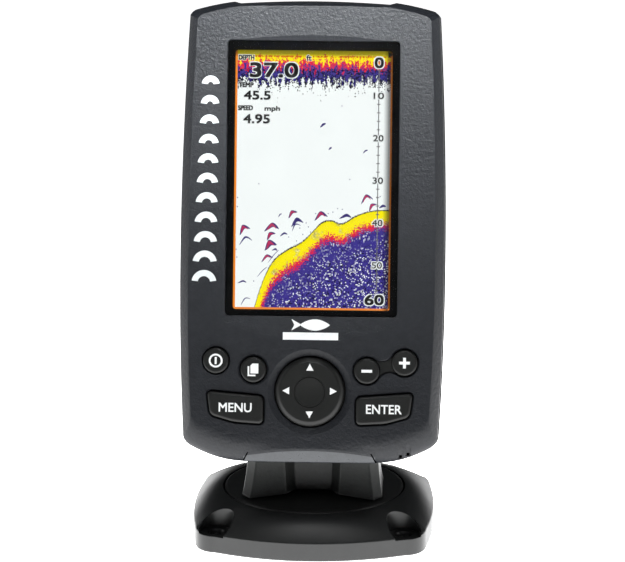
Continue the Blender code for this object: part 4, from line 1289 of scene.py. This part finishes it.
def softened_copies():
    """Small CAD pieces that show from behind, with their edges rounded."""
    pieces = [
        ("quick_release_shoe", "display", 0.5), ("release_button", "release", 0.5),
        ("tilt_shaft", "swivel_yoke", 0.35), ("tilt_nut", "swivel_yoke", 0.3),
        ("socket_collar", "display", 0.5), ("socket_insert", "display", 0.2),
    ]
    for side in ("left", "right"):
        pieces.append((f"tilt_ratchet_{side}", "swivel_yoke", 0.15))
        for level in ("low", "middle", "high"):
            pieces.append((f"case_screw_{side}_{level}", "display", 0.3))
    for node, body, width in pieces:
        form = bmesh.new()
        form.from_mesh(NODES[node].data)
        bmesh.ops.scale(form, vec=(1 / MM, 1 / MM, 1 / MM), verts=form.verts)
        bmesh.ops.remove_doubles(form, verts=form.verts, dist=2e-3)
        soften(form, width, 2, 40)
        replace_node(node + "_finished", form, IN_MODEL, body, node)


# ---------------------------------------------------------------- stage
def stage_floor():
    form = bmesh.new()
    bmesh.ops.create_grid(form, x_segments=2, y_segments=2, size=6.0)
    floor = as_object(as_mesh(form, "floor"), "floor")
    finish = Finish("pale_floor", 0.8, Emission_Strength=3.0)
    finish.colour((0.85, 0.85, 0.85), finish.noise(3, 2.0), 0.01)
    away = finish.node("VectorMath", operation="LENGTH")
    finish.link(finish.place, away.inputs[0])
    glow = finish.ramp(away.outputs["Value"], ((0.2, (1, 1, 1)), (0.45, (0.34, 0.34, 0.34))))
    finish.link(glow, finish.shader.inputs["Emission Color"])
    floor.data.materials.append(finish.material)


def softbox(name, spot, target, size, power, colour=(1, 1, 1), spread=180):
    data = bpy.data.lights.new(name, "AREA")
    data.shape = "RECTANGLE"
    data.size, data.size_y = size
    data.energy = power
    data.color = colour
    data.spread = math.radians(spread)
    light = as_object(data, name)
    light.location = spot
    light.rotation_euler = (Vector(target) - Vector(spot)).to_track_quat("-Z", "Y").to_euler()


def studio():
    world = bpy.data.worlds.new("studio")
    world.use_nodes = True
    sky = world.node_tree.nodes["Background"]
    sky.inputs["Color"].default_value = (0.9, 0.95, 1.0, 1)
    sky.inputs["Strength"].default_value = 0.04
    bpy.context.scene.world = world
    bpy.context.scene.view_settings.view_transform = "Standard"
    softbox("key", (0.02, -0.35, 0.45), (0, 0, 0.25), (0.16, 0.1), 0.38, (0.95, 0.98, 1.0), 42)
    softbox("above", (0, -0.15, 1.0), (0, 0, 0.1), (0.5, 0.5), 1.4)
    softbox("left", (-0.8, -0.1, 0.35), (0, 0, 0.08), (0.3, 0.8), 0.9)
    softbox("right", (0.8, -0.1, 0.35), (0, 0, 0.08), (0.3, 0.8), 0.9)


def camera():
    """Far away and a little to the right, looking down at the tilted face almost square on."""
    azimuth, elevation, distance = math.radians(2.7), math.radians(15.8), 1.5
    target = Vector((0, 0, 0.09))
    away = Vector((math.sin(azimuth), -math.cos(azimuth), math.tan(elevation))).normalized()
    data = bpy.data.cameras.new("camera")
    data.sensor_width = 36
    data.lens = 240.5
    data.shift_x, data.shift_y = -0.0026, 0.0058
    data.clip_end = 20
    eye = as_object(data, "camera")
    eye.location = target + away * distance
    eye.rotation_euler = (-away).to_track_quat("-Z", "Y").to_euler()
    bpy.context.scene.camera = eye


finish_cad_nodes()
front_bezel()
seam()
back_shell()
round_keys()
bar_keys()
arrow_pad()
key_web()
screen_panel()
screen_marks()
emblem()
side_marks()
foot()
disc()
yoke()
softened_copies()
stage_floor()
studio()
camera()
